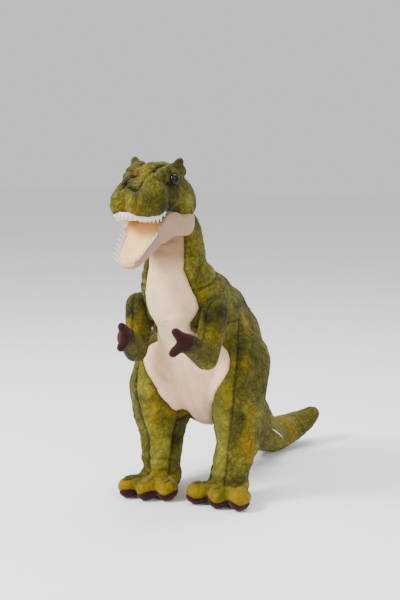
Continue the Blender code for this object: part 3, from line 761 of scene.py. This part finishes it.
foot_region = inside(plane((0, 0, 34), (0, -0.1, 1)), plane((0, 70, 0), (0, 1, 0)))
sole_region = inside(sole_level, plane((0, 60, 0), (0, 1, 0)))
belly_region = inside(belly_level, plane((0, 30, 86), (0, 0.8, -0.6)), plane((0, 0, 60), (0, 0, -1)))
palate_region = inside(
    head_level(2, PALATE_LEVEL + 1.6),
    head_level(0, 39.5, -1),
    plane((0, 0, 384), (0, 0, -1)),
    lambda points: np.abs(in_head(points)[:, 1]) - 29 - 20 * step(in_head(points)[:, 0], 63, 72),
)
inner_region = sided(
    inside(
        plane((58, -5, 70), (0.539, -0.824, 0.175)),
        plane((57, 0, 100), (0.93, -0.35, 0.1)),
        plane((0, 30, 112), (0, -0.15, 1)),
        plane((0, 96, 0), (0, 1, 0)),
    )
)
front_region = sided(
    inside(
        plane((62, -3, 251), (0.878, 0.469, -0.095)),
        plane((58, -5, 70), (-0.539, 0.824, -0.175)),
        plane((0, 0, 251), (0, 0, 1)),
    )
)
neck_seam = plane(NECK_SEAM, joints["neck_turn"]["axis"])
JAW_LINE = 399.0  # the level where the head's green cloth ends over the throat
HEAD_SPLIT = 343.0  # the neck bends below this level, and the head above it
TAIL_PIVOT = (0, 165, 92)
TAIL_DIRECTION = (0, 0.75, -0.66)
tail_split = plane(np.array(TAIL_PIVOT) - 20 * np.array(TAIL_DIRECTION), TAIL_DIRECTION)
strip_region = inside(
    lambda points: np.abs(in_head(points)[:, 1]) - 14 + 0.05 * (in_head(points)[:, 0] - 40),
    head_level(0, 96),
)
snout_level = lambda points: 59 - in_head(points)[:, 0] + 0.22 * (in_head(points)[:, 2] - 420)


def name_panels(points):
    """The panel that each point lies on, and the bodies that it moves with."""
    head = in_head(points)
    side = np.where(points[:, 0] > 0, "left", "right").astype(object)
    head_side = np.where(head[:, 1] > 0, "left", "right").astype(object)
    panel = "body_side_" + side
    panel = np.where(front_region(points) < 0, "leg_front_" + side, panel)
    panel = np.where(inner_region(points) < 0, "leg_inner_" + side, panel)
    panel = np.where(belly_region(points) < 0, "belly_panel_" + side, panel)
    panel = np.where(foot_region(points) < 0, "foot_top_" + side, panel)
    panel = np.where(sole_region(points) < 0, "sole_" + side, panel)
    turned = neck_seam(points) > 0
    panel = np.where(turned, "neck_side_" + side, panel)
    panel = np.where(turned & (belly_level(points) < 0), "neck_front", panel)
    above = turned & (points[:, 2] > HEAD_SPLIT)
    green = above & (belly_level(points) >= 0)
    green = green | (above & (head[:, 2] > JAW_LINE))
    panel = np.where(green, "head_side_" + head_side, panel)
    panel = np.where(above & ~green, "throat", panel)
    panel = np.where(green & (snout_level(points) < 0), "muzzle_" + head_side, panel)
    panel = np.where(green & (strip_region(points) < 0) & (head[:, 2] > 424), "crown_strip", panel)
    panel = np.where(above & (palate_region(points) < 0), "palate", panel)
    tail = tail_split(points) > 0
    return np.where(tail, "tail_panel_" + side, panel)


PANELS = {
    "body_side": ("scaly", ("torso",), ["body_side", "leg_stuffing", "pellet_bag"]),
    "leg_front": ("front", ("torso",), ["leg_front"]),
    "leg_inner": ("green", ("torso",), ["leg_inner"]),
    "belly_panel": ("beige", ("torso",), ["belly_panel"]),
    "foot_top": ("toe", ("torso",), ["foot_top"]),
    "sole": ("maroon", ("torso",), ["sole"]),
    "neck_side": ("green", ("torso", "neck"), ["neck_side"]),
    "neck_front": ("beige", ("torso", "neck"), ["neck_front", "neck_stuffing"]),
    "head_side": ("green", ("neck", "head"), ["head_side"]),
    "throat": ("beige", ("neck", "head"), []),
    "muzzle": ("green", ("head",), ["muzzle"]),
    "crown_strip": ("green", ("head",), ["crown_strip", "head_stuffing"]),
    "palate": ("mouth", ("head",), ["palate"]),
    "tail_panel": ("green", ("torso", "tail"), ["tail_panel"]),
}


def move_with(obj, bodies):
    """The piece rides on one body; a piece between two bodies is left in place in the world."""
    if len(bodies) == 1:
        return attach(obj, bodies[0])
    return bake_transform(obj)


def shown(name, finish, nodes, bodies, form, paint, seam):
    """A stuffed piece from a form: its points, triangles, normals and places at rest."""
    points, triangles, normals, rest = form
    obj = piece(name, points, triangles, finish, nodes, normals, rest=rest * MM, paint=paint, seam=seam)
    move_with(obj, bodies)
    return obj


def seam_distance(points, triangles, panels, weight_of):
    """For each point, how far the nearest seam is, and that seam's weight."""
    pairs = sides_of(triangles)
    owner = np.tile(np.arange(len(triangles)), 3)
    order = np.lexsort((pairs[:, 1], pairs[:, 0]))
    pairs, owner = pairs[order], owner[order]
    same = (pairs[1:] == pairs[:-1]).all(axis=1)
    first, second = owner[:-1][same], owner[1:][same]
    edge = pairs[:-1][same]
    seam = panels[first] != panels[second]
    edge, first, second = edge[seam], first[seam], second[seam]
    middles = (points[edge[:, 0]] + points[edge[:, 1]]) / 2
    weights = np.array(
        [weight_of(a, b, m) for a, b, m in zip(panels[first], panels[second], middles)]
    )
    edge, weights = edge[weights > 0], weights[weights > 0]
    tree = tree_of(points[edge.ravel()])
    found = [tree.find(point)[1:] for point in points]
    nearest = np.array([f[0] for f in found], int)
    return np.array([f[1] for f in found]), np.repeat(weights, 2)[nearest]


PALE = {"belly_panel", "neck_front", "throat"}
ONE_CLOTH = ({"neck_side", "head_side"}, {"body_side", "tail_panel"}, {"leg_inner", "tail_panel"})


def split_name(name):
    """A panel's name without its side, and the ending that says the side."""
    for side in ("_left", "_right"):
        if name.endswith(side):
            return name.removesuffix(side), side
    return name, ""


def main_seam_weight(a, b, middle):
    """1 for a plain sewn seam, more or less for a deep or faint one, and 0 where it is one cloth."""
    stems = {split_name(a)[0], split_name(b)[0]}
    if stems <= PALE:
        return 0.3 if stems == {"belly_panel"} and middle[2] < 235 else 0.0
    if stems in ONE_CLOTH:
        return 0.0
    if "palate" in (a, b):
        return 0.4
    if stems == {"muzzle"}:
        return 0.45
    if "crown_strip" in (a, b):
        return 1.6
    return 0.6 if stems & {"foot_top", "sole"} else 1.0


PEBBLE = 0.35  # height of the scaly plush's small lumps
FOLDS = [
    # centre, direction across, width, extent, depth
    ((52, -38, 50), (0, -0.15, 1), 3.0, 24, 3.0),
    ((-52, -38, 52), (0.1, -0.15, 1), 3.0, 26, 3.2),
    ((60, -36, 64), (0.2, -0.1, 1), 3.0, 20, 1.8),
    ((-62, -36, 68), (-0.2, -0.1, 1), 3.0, 20, 1.6),
    ((-52, -38, 43), (-0.1, -0.2, 1), 2.5, 18, 1.5),
    ((80, 10, 60), (0, 0.1, 1), 3.5, 22, 1.4),
    ((20, -70, 226), (0.3, -0.2, 1), 3.5, 34, 0.9),
    ((-20, -66, 214), (0.25, -0.2, 1), 4.0, 30, 0.8),
    ((10, -52, 196), (-0.35, -0.2, 1), 4.0, 34, 0.7),
    ((64, -30, 232), (-0.6, -0.2, 1), 4.0, 26, 1.6),
    ((-64, -30, 232), (0.6, -0.2, 1), 4.0, 26, 1.6),
    ((62, 20, 250), (-0.4, 0.9, 0.5), 5.0, 30, 1.2),
    ((-62, 20, 250), (0.4, 0.9, 0.5), 5.0, 30, 1.2),
    ((0, -96, 352), (0, -0.3, 1), 4.0, 26, 1.2),
    ((6, -98, 366), (0.15, -0.3, 1), 2.6, 22, 1.3),
    ((4, -98, 379), (-0.1, -0.2, 1), 2.4, 22, 1.2),
    ((34, -50, 340), (0.2, 0, 1), 4.0, 24, 1.2),
    ((-34, -50, 344), (-0.2, 0, 1), 4.0, 24, 1.2),
    ((25, 190, 70), (0, 0.8, -0.6), 4.0, 24, 1.2),
    ((20, 232, 40), (0, 1, -0.2), 4.0, 20, 0.9),
]


def sunk(points):
    return sum(fold(points, *item) for item in FOLDS)


BODY_PATCHES = [
    # centre, radii, colour, share: a dark thigh, yellow and pale streaks along the flank and legs
    ((98, 5, 150), (30, 34, 26), DARK_OLIVE, 0.75),
    ((-98, 0, 150), (30, 34, 30), DARK_OLIVE, 0.6),
    ((80, 60, 215), (34, 22, 40), MUSTARD, 0.6),
    ((98, 10, 112), (24, 40, 14), OLIVE, 0.7),
    ((50, -50, 150), (26, 24, 16), OLIVE, 0.7),
    ((88, -2, 62), (20, 34, 12), MUSTARD, 0.4),
    ((40, 40, 292), (40, 30, 22), DARK_OLIVE, 0.5),
    ((60, -30, 300), (22, 22, 16), LEAF, 0.5),
    ((30, -44, 372), (26, 22, 22), LEAF, 0.4),
    ((60, -60, 175), (28, 22, 14), DARK_OLIVE, 0.5),
    ((60, -44, 120), (26, 22, 12), PALE_LEAF, 0.6),
    ((-60, -50, 190), (26, 22, 16), PALE_LEAF, 0.5),
    ((-60, -46, 140), (26, 22, 10), DARK_OLIVE, 0.5),
    ((-58, -38, 95), (26, 22, 14), PALE_LEAF, 0.6),
]
HEAD_PATCHES = [
    # the same in the head's frame: mustard crown, dark and leaf green lobes on the muzzle, and brown
    # painted shade in the hollow of the snout top
    ((56, 0, 446), (26, 10, 12), MUSTARD, 0.75),
    ((100, 4, 412), (12, 18, 12), MUSTARD, 0.7),
    ((84, 22, 418), (16, 12, 14), DARK_OLIVE, 0.55),
    ((84, -24, 418), (16, 12, 14), LEAF, 0.5),
    # painted shade in the hollow of the snout top, between its creases
    ((72, 0, 436), (14, 12, 8), BROWN, 0.65),
    ((40, 38, 424), (18, 14, 18), LEAF, 0.45),
]


def main_paint(points, stem):
    """The airbrushed colours of one panel, with painted shade under the jaw, low between the legs, deep in
    the mouth and on the snout top, in the linear scale, for each point.
    """
    head = in_head(points)
    if stem == "sole":
        return np.tile(MAROON, (len(points), 1))
    if stem == "palate":
        # The palate darkens to orange towards the back: painted shade deep in the mouth.
        return mixed(IVORY, MOUTH_SHADE, 0.85 * (1 - step(head[:, 0], 36, 58)))
    if stem in PALE:
        # Cream, turned tan by painted shade under the jaw and low between the legs, and by random warm
        # patches for the folds
        warm = step(points[:, 2], 318, 350) * 0.9 + 0.25 * step(layered(points, 40, 60), 0.1, 0.7)
        # Painted shade low between the legs.
        warm = np.maximum(warm, 0.45 * (1 - step(points[:, 2], 90, 140)))
        return mixed(BEIGE, TAN, np.clip(warm, 0, 1))
    colour = mottled(points, 2, 0.3 if stem in ("leg_front", "foot_top", "neck_side") else 0.0)
    if stem == "foot_top":
        golden = 0.85 * mixed(LEAF, MUSTARD, step(layered(points, 20, 40), -0.5, 0.3))
        height = points[:, 2] + 4 * layered(points, 14, 41)
        colour = mixed(colour, golden, 1 - step(height, 24, 38))
    for centre, radius, tint, share in BODY_PATCHES:
        colour = mixed(colour, tint, share * patch(points, centre, radius))
    # The tail: paler below, with a yellow band before its olive tip
    low = points[:, 2] < 100
    colour = mixed(colour, PALE_LEAF, 0.65 * step(points[:, 1], 150, 190) * low)
    band = np.exp(-(((points[:, 1] - 244) / 9) ** 2))
    colour = mixed(colour, MUSTARD, 0.85 * band * low)
    colour = mixed(colour, OLIVE, 0.75 * step(points[:, 1], 256, 276))
    for centre, radius, tint, share in HEAD_PATCHES:
        colour = mixed(colour, tint, share * patch(head, centre, radius))
    return colour


BLOW_FRAMES = 20
BLOW_SPACING = 5.0
BLOW_LIMIT = 3.5  # furthest that the simulation may move a point
HEAD_LIMIT = 0.8  # the same for the head
FOOT_LIMIT = 0.5  # and for the feet


def blown(points, triangles, held):
    """The form after a cloth simulation presses its stuffing outwards; held is 1 where a seam holds it."""
    form = linked("blown", mesh_of("blown", points * MM, triangles))
    group = form.vertex_groups.new(name="seams")
    for level in (0.5, 1.0):
        chosen = np.flatnonzero((held > level - 0.25) & (held <= level + 0.25))
        group.add(chosen.tolist(), level, "REPLACE")
    cloth = form.modifiers.new("Cloth", "CLOTH")
    cloth.point_cache.frame_start = 1
    cloth.point_cache.frame_end = BLOW_FRAMES
    settings = cloth.settings
    settings.quality = 4
    settings.mass = 0.2
    settings.tension_stiffness = 20
    settings.compression_stiffness = 20
    settings.bending_stiffness = 1.0
    settings.use_pressure = True
    settings.uniform_pressure_force = 4.0
    settings.shrink_min = -0.03
    settings.effector_weights.gravity = 0
    settings.vertex_group_mass = "seams"
    for number in range(1, BLOW_FRAMES + 1):
        bpy.context.scene.frame_set(number)
    pressed, _ = read(evaluated(form))
    bpy.data.objects.remove(form)
    bpy.context.scene.frame_set(1)
    return pressed


def stuffed(points, triangles, panels):
    """Lets a coarse copy of the form fill out between its seams, and moves the fine points with it."""
    bm = bmesh.new()
    mesh = mesh_of("coarse", points * MM, triangles)
    bm.from_mesh(mesh)
    bpy.data.meshes.remove(mesh)
    coarse, faces = fused(bm, BLOW_SPACING)
    distance, weight = seam_distance(points, triangles, panels, main_seam_weight)
    tree = tree_of(points)
    nearest = np.array([tree.find(point)[1] for point in coarse])
    held = (distance[nearest] < 4.0) & (weight[nearest] > 0.5)
    held = np.maximum(held.astype(float), coarse[:, 2] < 45)
    held = np.maximum(held, 0.5 * (coarse[:, 2] > 385))
    moved = blown(coarse, faces, held) - coarse
    moved = relaxed(moved, faces, 1)
    length = np.linalg.norm(moved, axis=1, keepdims=True)
    limits = [FOOT_LIMIT, BLOW_LIMIT, BLOW_LIMIT, HEAD_LIMIT]
    limit = np.interp(coarse[:, 2], [45, 70, 330, 380], limits)[:, None]
    moved = moved * np.minimum(1, limit / np.maximum(length, 1e-6))
    tree = tree_of(coarse)
    found = [tree.find_n(point, 4) for point in points]
    index = np.array([[f[1] for f in near] for near in found])
    share = 1 / (np.array([[f[2] for f in near] for near in found]) + 0.5) ** 2
    share /= share.sum(axis=1, keepdims=True)
    return points + (moved[index] * share[:, :, None]).sum(axis=1)


def build_main():
    points, triangles = main_form()
    levels = (
        foot_region, sole_region, belly_region, inner_region, front_region, neck_seam, tail_split,
        plane((0, 0, HEAD_SPLIT), (0, 0, 1)), plane((0, 0, JAW_LINE), (0, 0, 1)),
        palate_region, strip_region, snout_level,
        lambda p: np.where(p[:, 2] < HEAD_SPLIT, p[:, 0], 1.0),
        lambda p: np.where(p[:, 2] > HEAD_SPLIT, in_head(p)[:, 1], 1.0),
        lambda p: np.where(neck_seam(p) > 0, belly_level(p), 1.0),
    )
    for level in levels:
        points, triangles = cut(points, triangles, level)
    middles = points[triangles].mean(axis=1)
    panels = name_panels(middles)
    rest = points.copy()
    points = stuffed(points, triangles, panels)
    points = hung(points)
    distance, weight = seam_distance(points, triangles, panels, main_seam_weight)
    # seam: how much painted shade each point takes in a seam's groove, read by the shaders.
    seam = weight * np.exp(-((distance / 2.0) ** 2))
    normals = normals_of(points, triangles)
    of_point = np.empty(len(points), object)
    of_point[triangles.ravel()] = np.repeat(panels, 3)
    pale = np.isin(of_point, ["belly_panel_left", "belly_panel_right", "neck_front", "throat", "palate"])
    crinkle = np.where(pale, 0.25, 1.0)
    lift = (1 - np.exp(-distance / 9)) * weight
    lift += crinkle * (0.9 * layered(points, 26, 70) + 0.5 * layered(points, 11, 74))
    lift += crinkle * PEBBLE * layered(points, 5.5, 76, 1)
    lift -= crinkle * 0.7 * creases(points, 30, 78)
    lift -= np.where(pale, 0.0, 0.75) * creases(points, 15, 82)
    lift -= 1.5 * weight * np.exp(-((distance / 2.4) ** 2))
    lift -= sunk(points)
    free = step(points[:, 2], 0.5, 6)
    points = points + normals * (lift * free)[:, None]
    points[:, 2] = np.maximum(points[:, 2], 0)
    normals = normals_of(points, triangles)
    # Each panel is painted on its own, so that colours change at the seams and not across them
    for name in sorted(set(panels)):
        chosen = triangles[panels == name]
        inner = np.zeros(len(points), bool)
        inner[chosen.ravel()] = True
        stem, side = split_name(name)
        finish, bodies, stems = PANELS[stem]
        paint = np.zeros((len(points), 3))
        paint[inner] = main_paint(rest[inner], stem)
        nodes = [s + side if s + side in frame["nodes"] else s for s in stems]
        form = (points, chosen, normals, rest)
        shown(name, finish, nodes, bodies, form, paint, seam)
    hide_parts("torso_stuffing")
    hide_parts("tail_stuffing")


build_main()


# A smaller stuffed form, cut into panels


def build_form(form, levels, name_of, paint_of, table, bodies, weight_of, seam_of, lift_of):
    """Cuts a form into named panels; table gives each panel's finish and the CAD nodes it stands for."""
    points, triangles = form
    for level in levels:
        points, triangles = cut(points, triangles, level)
    panels = name_of(points[triangles].mean(axis=1))
    rest = points.copy()
    distance, _ = seam_distance(points, triangles, panels, weight_of)
    points = points + normals_of(points, triangles) * lift_of(points, distance)[:, None]
    normals = normals_of(points, triangles)
    for name, (finish, nodes) in table.items():
        chosen = triangles[panels == name]
        paint = paint_of(rest, name)
        # seam_of gives each point's share of painted shade in the seams' grooves.
        shown(name, finish, nodes, bodies, (points, chosen, normals, rest), paint, seam_of(distance))


# Arms

UPPER_ARM = [
    ((57, -67, 271), (17.5, 19, 19)),
    ((54.5, -70, 249), (18.5, 18.5, 18)),
    ((53, -82, 213), (16, 15.5, 16)),
]
FOREARM = [((53, -82, 213), (16, 15.5, 16)), ((46, -118, 238), (12.5, 13, 14))]
FINGERS = [
    [((47, -116, 237), (11, 11, 12)), ((41, -129, 248), (7.2, 7.6, 7.2)), ((39, -139, 256), (5.6, 6, 5.6))],
    [((47, -116, 237), (11, 11, 12)), ((40, -131, 234), (7.2, 7.6, 7.0)), ((38, -143, 229), (5.6, 6, 5.6))],
]
WRIST = ((45.5, -123, 241.5), (-0.17, -0.83, 0.53))
ARM_SEAM = ((57, -72, 246), (0.974, -0.221, -0.035))


def build_arm(side, sign):
    def flip(blobs):
        return [((sign * c[0], c[1], c[2]), r) for c, r in blobs]

    def flipped(point, normal):
        return plane((sign * point[0], *point[1:]), (sign * normal[0], *normal[1:]))

    bm = bmesh.new()
    chain(bm, flip(UPPER_ARM))
    chain(bm, flip(FOREARM))
    for finger in FINGERS:
        chain(bm, flip(finger))
    points, triangles = fused(bm, 1.9)
    wrist, seam = flipped(*WRIST), flipped(*ARM_SEAM)
    points = relaxed(points, triangles, 14, 0.5 * (1 - 0.6 * step(wrist(points), -4, 8)))
    sleeve_seam = lambda p: np.where(wrist(p) < 0, seam(p), 1.0)

    def name_of(p):
        outer = np.where(seam(p) > 0, "arm_outer_" + side, "arm_inner_" + side)
        return np.where(wrist(p) > 0, "hand_" + side, outer).astype(object)

    def paint_of(p, name):
        if name.startswith("hand"):
            return np.tile(MAROON, (len(p), 1))
        colour = mottled(p, 6 if sign > 0 else 8, -0.15)
        colour = mixed(colour, DARK_OLIVE, 0.8 * patch(p, (sign * 72, -68, 270), (30, 26, 18)))
        colour = mixed(colour, MUSTARD, 0.5 * patch(p, (sign * 66, -78, 240), (20, 20, 10)))
        return mixed(colour, DARK_OLIVE, 0.5 * patch(p, (sign * 50, -100, 222), (26, 22, 14)))

    table = {
        "arm_outer_" + side: ("green", ["arm_outer_" + side, "arm_stuffing_" + side]),
        "arm_inner_" + side: ("green", ["arm_inner_" + side]),
        "hand_" + side: ("maroon", ["hand_" + side]),
    }

    def lift_of(p, distance):
        crinkle = 0.8 * (0.7 * layered(p, 18, 90) + 0.35 * layered(p, 8, 94))
        return crinkle - 0.9 * np.exp(-((distance / 2.2) ** 2))

    build_form(
        (points, triangles), (wrist, sleeve_seam), name_of, paint_of, table, ("arm_" + side,),
        lambda a, b, middle: 1.0, lambda distance: np.exp(-((distance / 1.8) ** 2)), lift_of,
    )


for arm_side, arm_sign in (("left", 1), ("right", -1)):
    build_arm(arm_side, arm_sign)


# Lower jaw and cheeks

JAW = [
    ((2, 0, -3), (14, 27, 18)),
    ((28, 0, -1), (14, 23.5, 17)),
    ((62, 0, 1.5), (10, 18, 10.5)),
]
CHEEK_REAR = ((20, 33, 388), (13, 8, 18))
CHEEK_FRONT = ((50, 31, 387), (12, 6.5, 16))
CHEEK_WALL = [((56, 32, 397), (5, 4, 5)), ((69, 27, 380), (4.5, 4, 5))]
CHEEK_LOW = ((62, 27, 372), (8, 6, 9))
CHEEK_END = 50  # how far forward in the head the cheeks reach
JAW_TOP = 8.0


def build_jaw():
    bm = bmesh.new()
    top = [(jaw_point((0, 0, JAW_TOP)), jaw_point((0, 0, 1)) - jaw_point((0, 0, 0)))]
    chain(bm, JAW, jaw_point, JAW_TURN @ HEAD_AXES, top)
    for sign in (1, -1):
        for blobs in (
            [CHEEK_REAR, CHEEK_FRONT],
            [CHEEK_FRONT, CHEEK_WALL[0]],
            CHEEK_WALL,
            [CHEEK_FRONT, CHEEK_WALL[1], CHEEK_LOW],
        ):
            hull(bm, mirrored(blobs, sign), head_point, HEAD_AXES)
    points, triangles = fused(bm, 2.0)
    points = relaxed(points, triangles, 8, 0.45)
    local = in_jaw(points)
    # The lining sinks into a shallow trough
    width = np.interp(local[:, 0], [0, 30, 60, 72], [25, 21, 15.5, 8])
    trough = np.clip(1 - (local[:, 1] / width) ** 2, 0, 1)
    trough = trough * step(local[:, 2], 4.5, 7) * step(70 - local[:, 0], 0, 10)
    down = jaw_point((0, 0, 0)) - jaw_point((0, 0, 1))
    points = points + down * (3.5 * trough)[:, None]
    lining_level = lambda p: np.maximum(
        5.6 - in_jaw(p)[:, 2] - 4.2 * np.clip(1 - (in_jaw(p)[:, 1] / 22.0) ** 2, 0, 1),
        np.abs(in_jaw(p)[:, 1]) - np.interp(in_jaw(p)[:, 0], [-10, 10, 30, 60, 72], [26, 25, 22, 17.5, 10]),
    )
    split = head_level(0, CHEEK_END)
    side_level = lambda p: np.where(in_head(p)[:, 0] < CHEEK_END, in_head(p)[:, 1], 1.0)

    def name_of(p):
        head = in_head(p)
        cheek = np.where(head[:, 1] > 0, "cheek_left", "cheek_right").astype(object)
        outer = np.where(head[:, 0] < CHEEK_END, cheek, "jaw_outer")
        return np.where(lining_level(p) < 0, "jaw_lining", outer).astype(object)

    def paint_of(p, name):
        local = in_jaw(p)
        if name == "jaw_lining":
            edge = np.abs(local[:, 1]) / 21
            # Painted shade: the lining darkens to orange deep at the back of the mouth and along its sides.
            share = 0.7 * (1 - step(local[:, 0], -4, 24)) + 0.35 * step(edge, 0.6, 1.0)
            return mixed(PEACH, MOUTH_SHADE, np.clip(share, 0, 1))
        warm = 0.3 * step(layered(p, 24, 50), -0.1, 0.6)
        outer = mixed(PINK_BEIGE, TAN, warm)
        head = in_head(p)
        inside_mouth = (1 - step(np.abs(head[:, 1]), 25, 29)) * step(head[:, 2], 378, 386)
        inside_mouth = inside_mouth * step(head[:, 0], 48, 54)
        return mixed(outer, PEACH, inside_mouth)

    table = {
        "jaw_outer": ("jaw", ["jaw_outer", "jaw_stuffing"]),
        "jaw_lining": ("mouth", ["jaw_lining"]),
        "cheek_left": ("jaw", ["cheek_left"]),
        "cheek_right": ("jaw", ["cheek_right"]),
    }
    build_form(
        (points, triangles), (lining_level, split, side_level), name_of, paint_of, table, ("head", "jaw"),
        lambda a, b, middle: 1.0 if "jaw_lining" in (a, b) else 0.0,
        lambda distance: 0.6 * np.exp(-((distance / 1.6) ** 2)),
        lambda p, distance: 0.3 * layered(p, 20, 98),
    )


build_jaw()


# Teeth: felt strips cut in a zigzag


def curve_through(path, count):
    """Points at even steps along a smooth curve through the path's points."""
    path = np.array(path, float)
    places = np.concatenate([[0], np.cumsum(np.linalg.norm(np.diff(path, axis=0), axis=1))])
    fine = np.linspace(0, places[-1], 400)
    dense = np.stack([np.interp(fine, places, path[:, axis]) for axis in range(path.shape[1])], axis=1)
    for _ in range(60):
        dense[1:-1] += 0.5 * ((dense[:-2] + dense[2:]) / 2 - dense[1:-1])
    places = np.concatenate([[0], np.cumsum(np.linalg.norm(np.diff(dense, axis=0), axis=1))])
    wanted = np.linspace(0, places[-1], count)
    return np.stack([np.interp(wanted, places, dense[:, axis]) for axis in range(path.shape[1])], axis=1)


FELT_THICKNESS = 1.3


def grid_mesh(name, rows):
    """A mesh through rows of places in the frame's metres."""
    bm = bmesh.new()
    grid = [[bm.verts.new(place) for place in places] for places in rows]
    for lower, upper in zip(grid, grid[1:]):
        for index in range(len(lower) - 1):
            bm.faces.new((lower[index], lower[index + 1], upper[index + 1], upper[index]))
    return mesh_from(name, bm)


def tooth_strip(name, line, base, tip, teeth):
    """base and tip give a point of the strip from a path point and, for tip, the tooth's height share."""
    per_tooth = 8
    spots = curve_through(line, teeth * per_tooth + 1)
    shares = np.abs(((np.arange(len(spots)) % per_tooth) / per_tooth) * 2 - 1)
    profile = 0.14 + 0.86 * (1 - shares) ** 0.9
    inner = np.roll(spots, 1, axis=0)
    inner[0] = spots[0]
    outer = np.roll(spots, -1, axis=0)
    outer[-1] = spots[-1]
    tangent = outer - inner
    side = np.stack([tangent[:, 1], -tangent[:, 0]], axis=1)
    side /= np.linalg.norm(side, axis=1, keepdims=True)
    levels = (0.0, 0.35, 0.7, 1.0)
    rows = [
        [row(tip(spot, out, base, share * level)) for spot, out, share in zip(spots, side, profile)]
        for level in levels
    ]
    mesh = grid_mesh(name, rows)
    mesh.materials.append(FINISHES["felt"][1])
    obj = linked(name, mesh)
    thick = obj.modifiers.new("Thickness", "SOLIDIFY")
    thick.thickness = FELT_THICKNESS * MM
    thick.offset = 0.0
    edge = obj.modifiers.new("Edge", "BEVEL")
    edge.width = 0.25 * MM
    edge.segments = 2
    final = evaluated(obj)
    obj.modifiers.clear()
    obj.data = final
    final.shade_smooth()
    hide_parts(name)
    return obj


def closed_path(half):
    return half + [(x, -y) for x, y in reversed(half[:-1])]


UPPER_LIP = [(60, 29.5), (76, 27.5), (90, 23.5), (98, 17), (102.5, 9), (103.5, 0)]
LOWER_RIM = [(12, 25), (34, 21.5), (54, 17.5), (66, 11.5), (71, 0)]


def lip_level(forward, left):
    """The upper lip rises to the mouth's corner and a little at the front."""
    return PALATE_LEVEL + 2.5 + 4.0 * (1 - step(forward, 58, 72)) - hang(forward, left)


def upper_tip(spot, out, base, share):
    lean = spot + out * (0.6 + 2.0 * share) * np.sign(out @ spot + 1e-9) * 0.4
    return head_point((lean[0], lean[1], lip_level(spot[0], spot[1]) - base - 8.5 * share))


def lower_tip(spot, out, base, share):
    outward = out * np.sign(out[0] * (spot[0] - 30) + out[1] * spot[1] + 1e-9)
    lean = spot + outward * 5.0 * share
    return jaw_point((lean[0], lean[1], JAW_TOP - 2.0 + base + 7.0 * share))


upper = tooth_strip("upper_teeth", closed_path(UPPER_LIP), 0.5, upper_tip, 20)
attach(upper, "head")
lower = tooth_strip("lower_teeth", closed_path(LOWER_RIM), 0.0, lower_tip, 19)
move_with(lower, ("head", "jaw"))


# Brow horns


HORN = [((41, 29.5, 452), (14, 7, 8)), ((39, 36, 465), (6.6, 4, 4.6))]


def build_horn(side, sign):
    bm = bmesh.new()
    hull(bm, mirrored(HORN, sign), head_point, HEAD_AXES)
    points, triangles = fused(bm, 1.4)
    points = relaxed(points, triangles, 6, 0.5)

    rest = points
    points = rest + normals_of(rest, triangles) * (0.4 * layered(rest, 8, 33))[:, None]
    name = "brow_horn_" + side
    form = (points, triangles, normals_of(points, triangles), rest)
    paint = mixed(mottled(rest, 3), DARK_OLIVE, 0.65)
    shown(name, "green", [name], ("head",), form, paint, np.zeros(len(points)))


# Eyes


def build_eye(side, sign):
    """A glossy dome on the face, with its shank left inside the head."""
    name = "eye_" + side
    facing = Vector(HEAD_AXES.T @ np.array((0.42, 0.90 * sign, 0.10))).normalized()
    place = Vector(head_point((53.5, sign * 38.6, 443)))
    turn = facing.to_track_quat("Z", "Y").to_matrix().to_4x4()
    bm = bmesh.new()
    bmesh.ops.create_uvsphere(bm, u_segments=48, v_segments=28, radius=1.0)
    local = np.array([v.co for v in bm.verts])
    radius = np.hypot(local[:, 0], local[:, 1])
    matrix = Matrix.Translation(place) @ turn @ Matrix.Diagonal((5.8, 6.9, 4.4, 1))
    bm.transform(matrix)
    points = np.array([v.co for v in bm.verts])
    bmesh.ops.triangulate(bm, faces=bm.faces[:])
    triangles = np.array([[v.index for v in f.verts] for f in bm.faces])
    bm.free()
    obj = piece(name, points, triangles, "eye", [name], rest=points * MM, radius=radius)
    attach(obj, "head")


for brow_side, brow_sign in (("left", 1), ("right", -1)):
    build_horn(brow_side, brow_sign)
    build_eye(brow_side, brow_sign)
    washer = frame["nodes"]["eye_washer_" + brow_side]
    washer.data.materials.clear()
    washer.data.materials.append(FINISHES["washer"][1])


# The folded label under the tail's left side

LABEL_ROOT = np.array((29.5, 172, 57), float)
LABEL_ALONG = np.array((0.70, 0.40, -0.59)) / np.linalg.norm((0.70, 0.40, -0.59))
LABEL_OUT = np.cross(LABEL_ALONG, (0.43, -0.88, 0.14))
LABEL_OUT = LABEL_OUT / np.linalg.norm(LABEL_OUT)
LABEL_LENGTH = 26.0
LABEL_WIDTH = 13.0


def build_label():
    """A strip of white tape, folded double and sewn in by its ends."""
    across = np.cross(LABEL_ALONG, LABEL_OUT)
    turns = 24
    outline = []
    for index in range(2 * turns + 1):
        reach = LABEL_LENGTH * (1 - abs(index / turns - 1) ** 1.6)
        gap = 1.3 * math.sin(math.pi * reach / LABEL_LENGTH * 0.5) * np.sign(index - turns)
        curl = 1.6 * (reach / LABEL_LENGTH) ** 2
        outline.append(LABEL_ROOT + LABEL_ALONG * (reach - 2) + LABEL_OUT * (0.8 + gap * 0.5 + curl))
    shares = np.linspace(-0.5, 0.5, 9)
    rows = [[row(place + across * share * LABEL_WIDTH) for share in shares] for place in outline]
    mesh = grid_mesh("care_label", rows)
    mesh.materials.append(FINISHES["tape"][1])
    mesh.shade_smooth()
    obj = linked("care_label", mesh)
    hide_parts("care_label")
    move_with(obj, ("torso", "tail"))


build_label()


# Floor


def build_floor():
    mesh = bpy.data.meshes.new("floor")
    half = 6.0
    corners = [(-half, -half, 0), (half, -half, 0), (half, half, 0), (-half, half, 0)]
    mesh.from_pydata(corners, [], [(0, 1, 2, 3)])
    nodes = Nodes("floor", 0.8, 0.2)
    place = nodes.add("TexCoord").outputs["Object"]
    shade = nodes.ramp(nodes.noise(place, 3.0), (0.3, 0.93), (0.7, 0.95))
    mesh.materials.append(nodes.done({"Base Color": shade}))
    linked("floor", mesh)


build_floor()
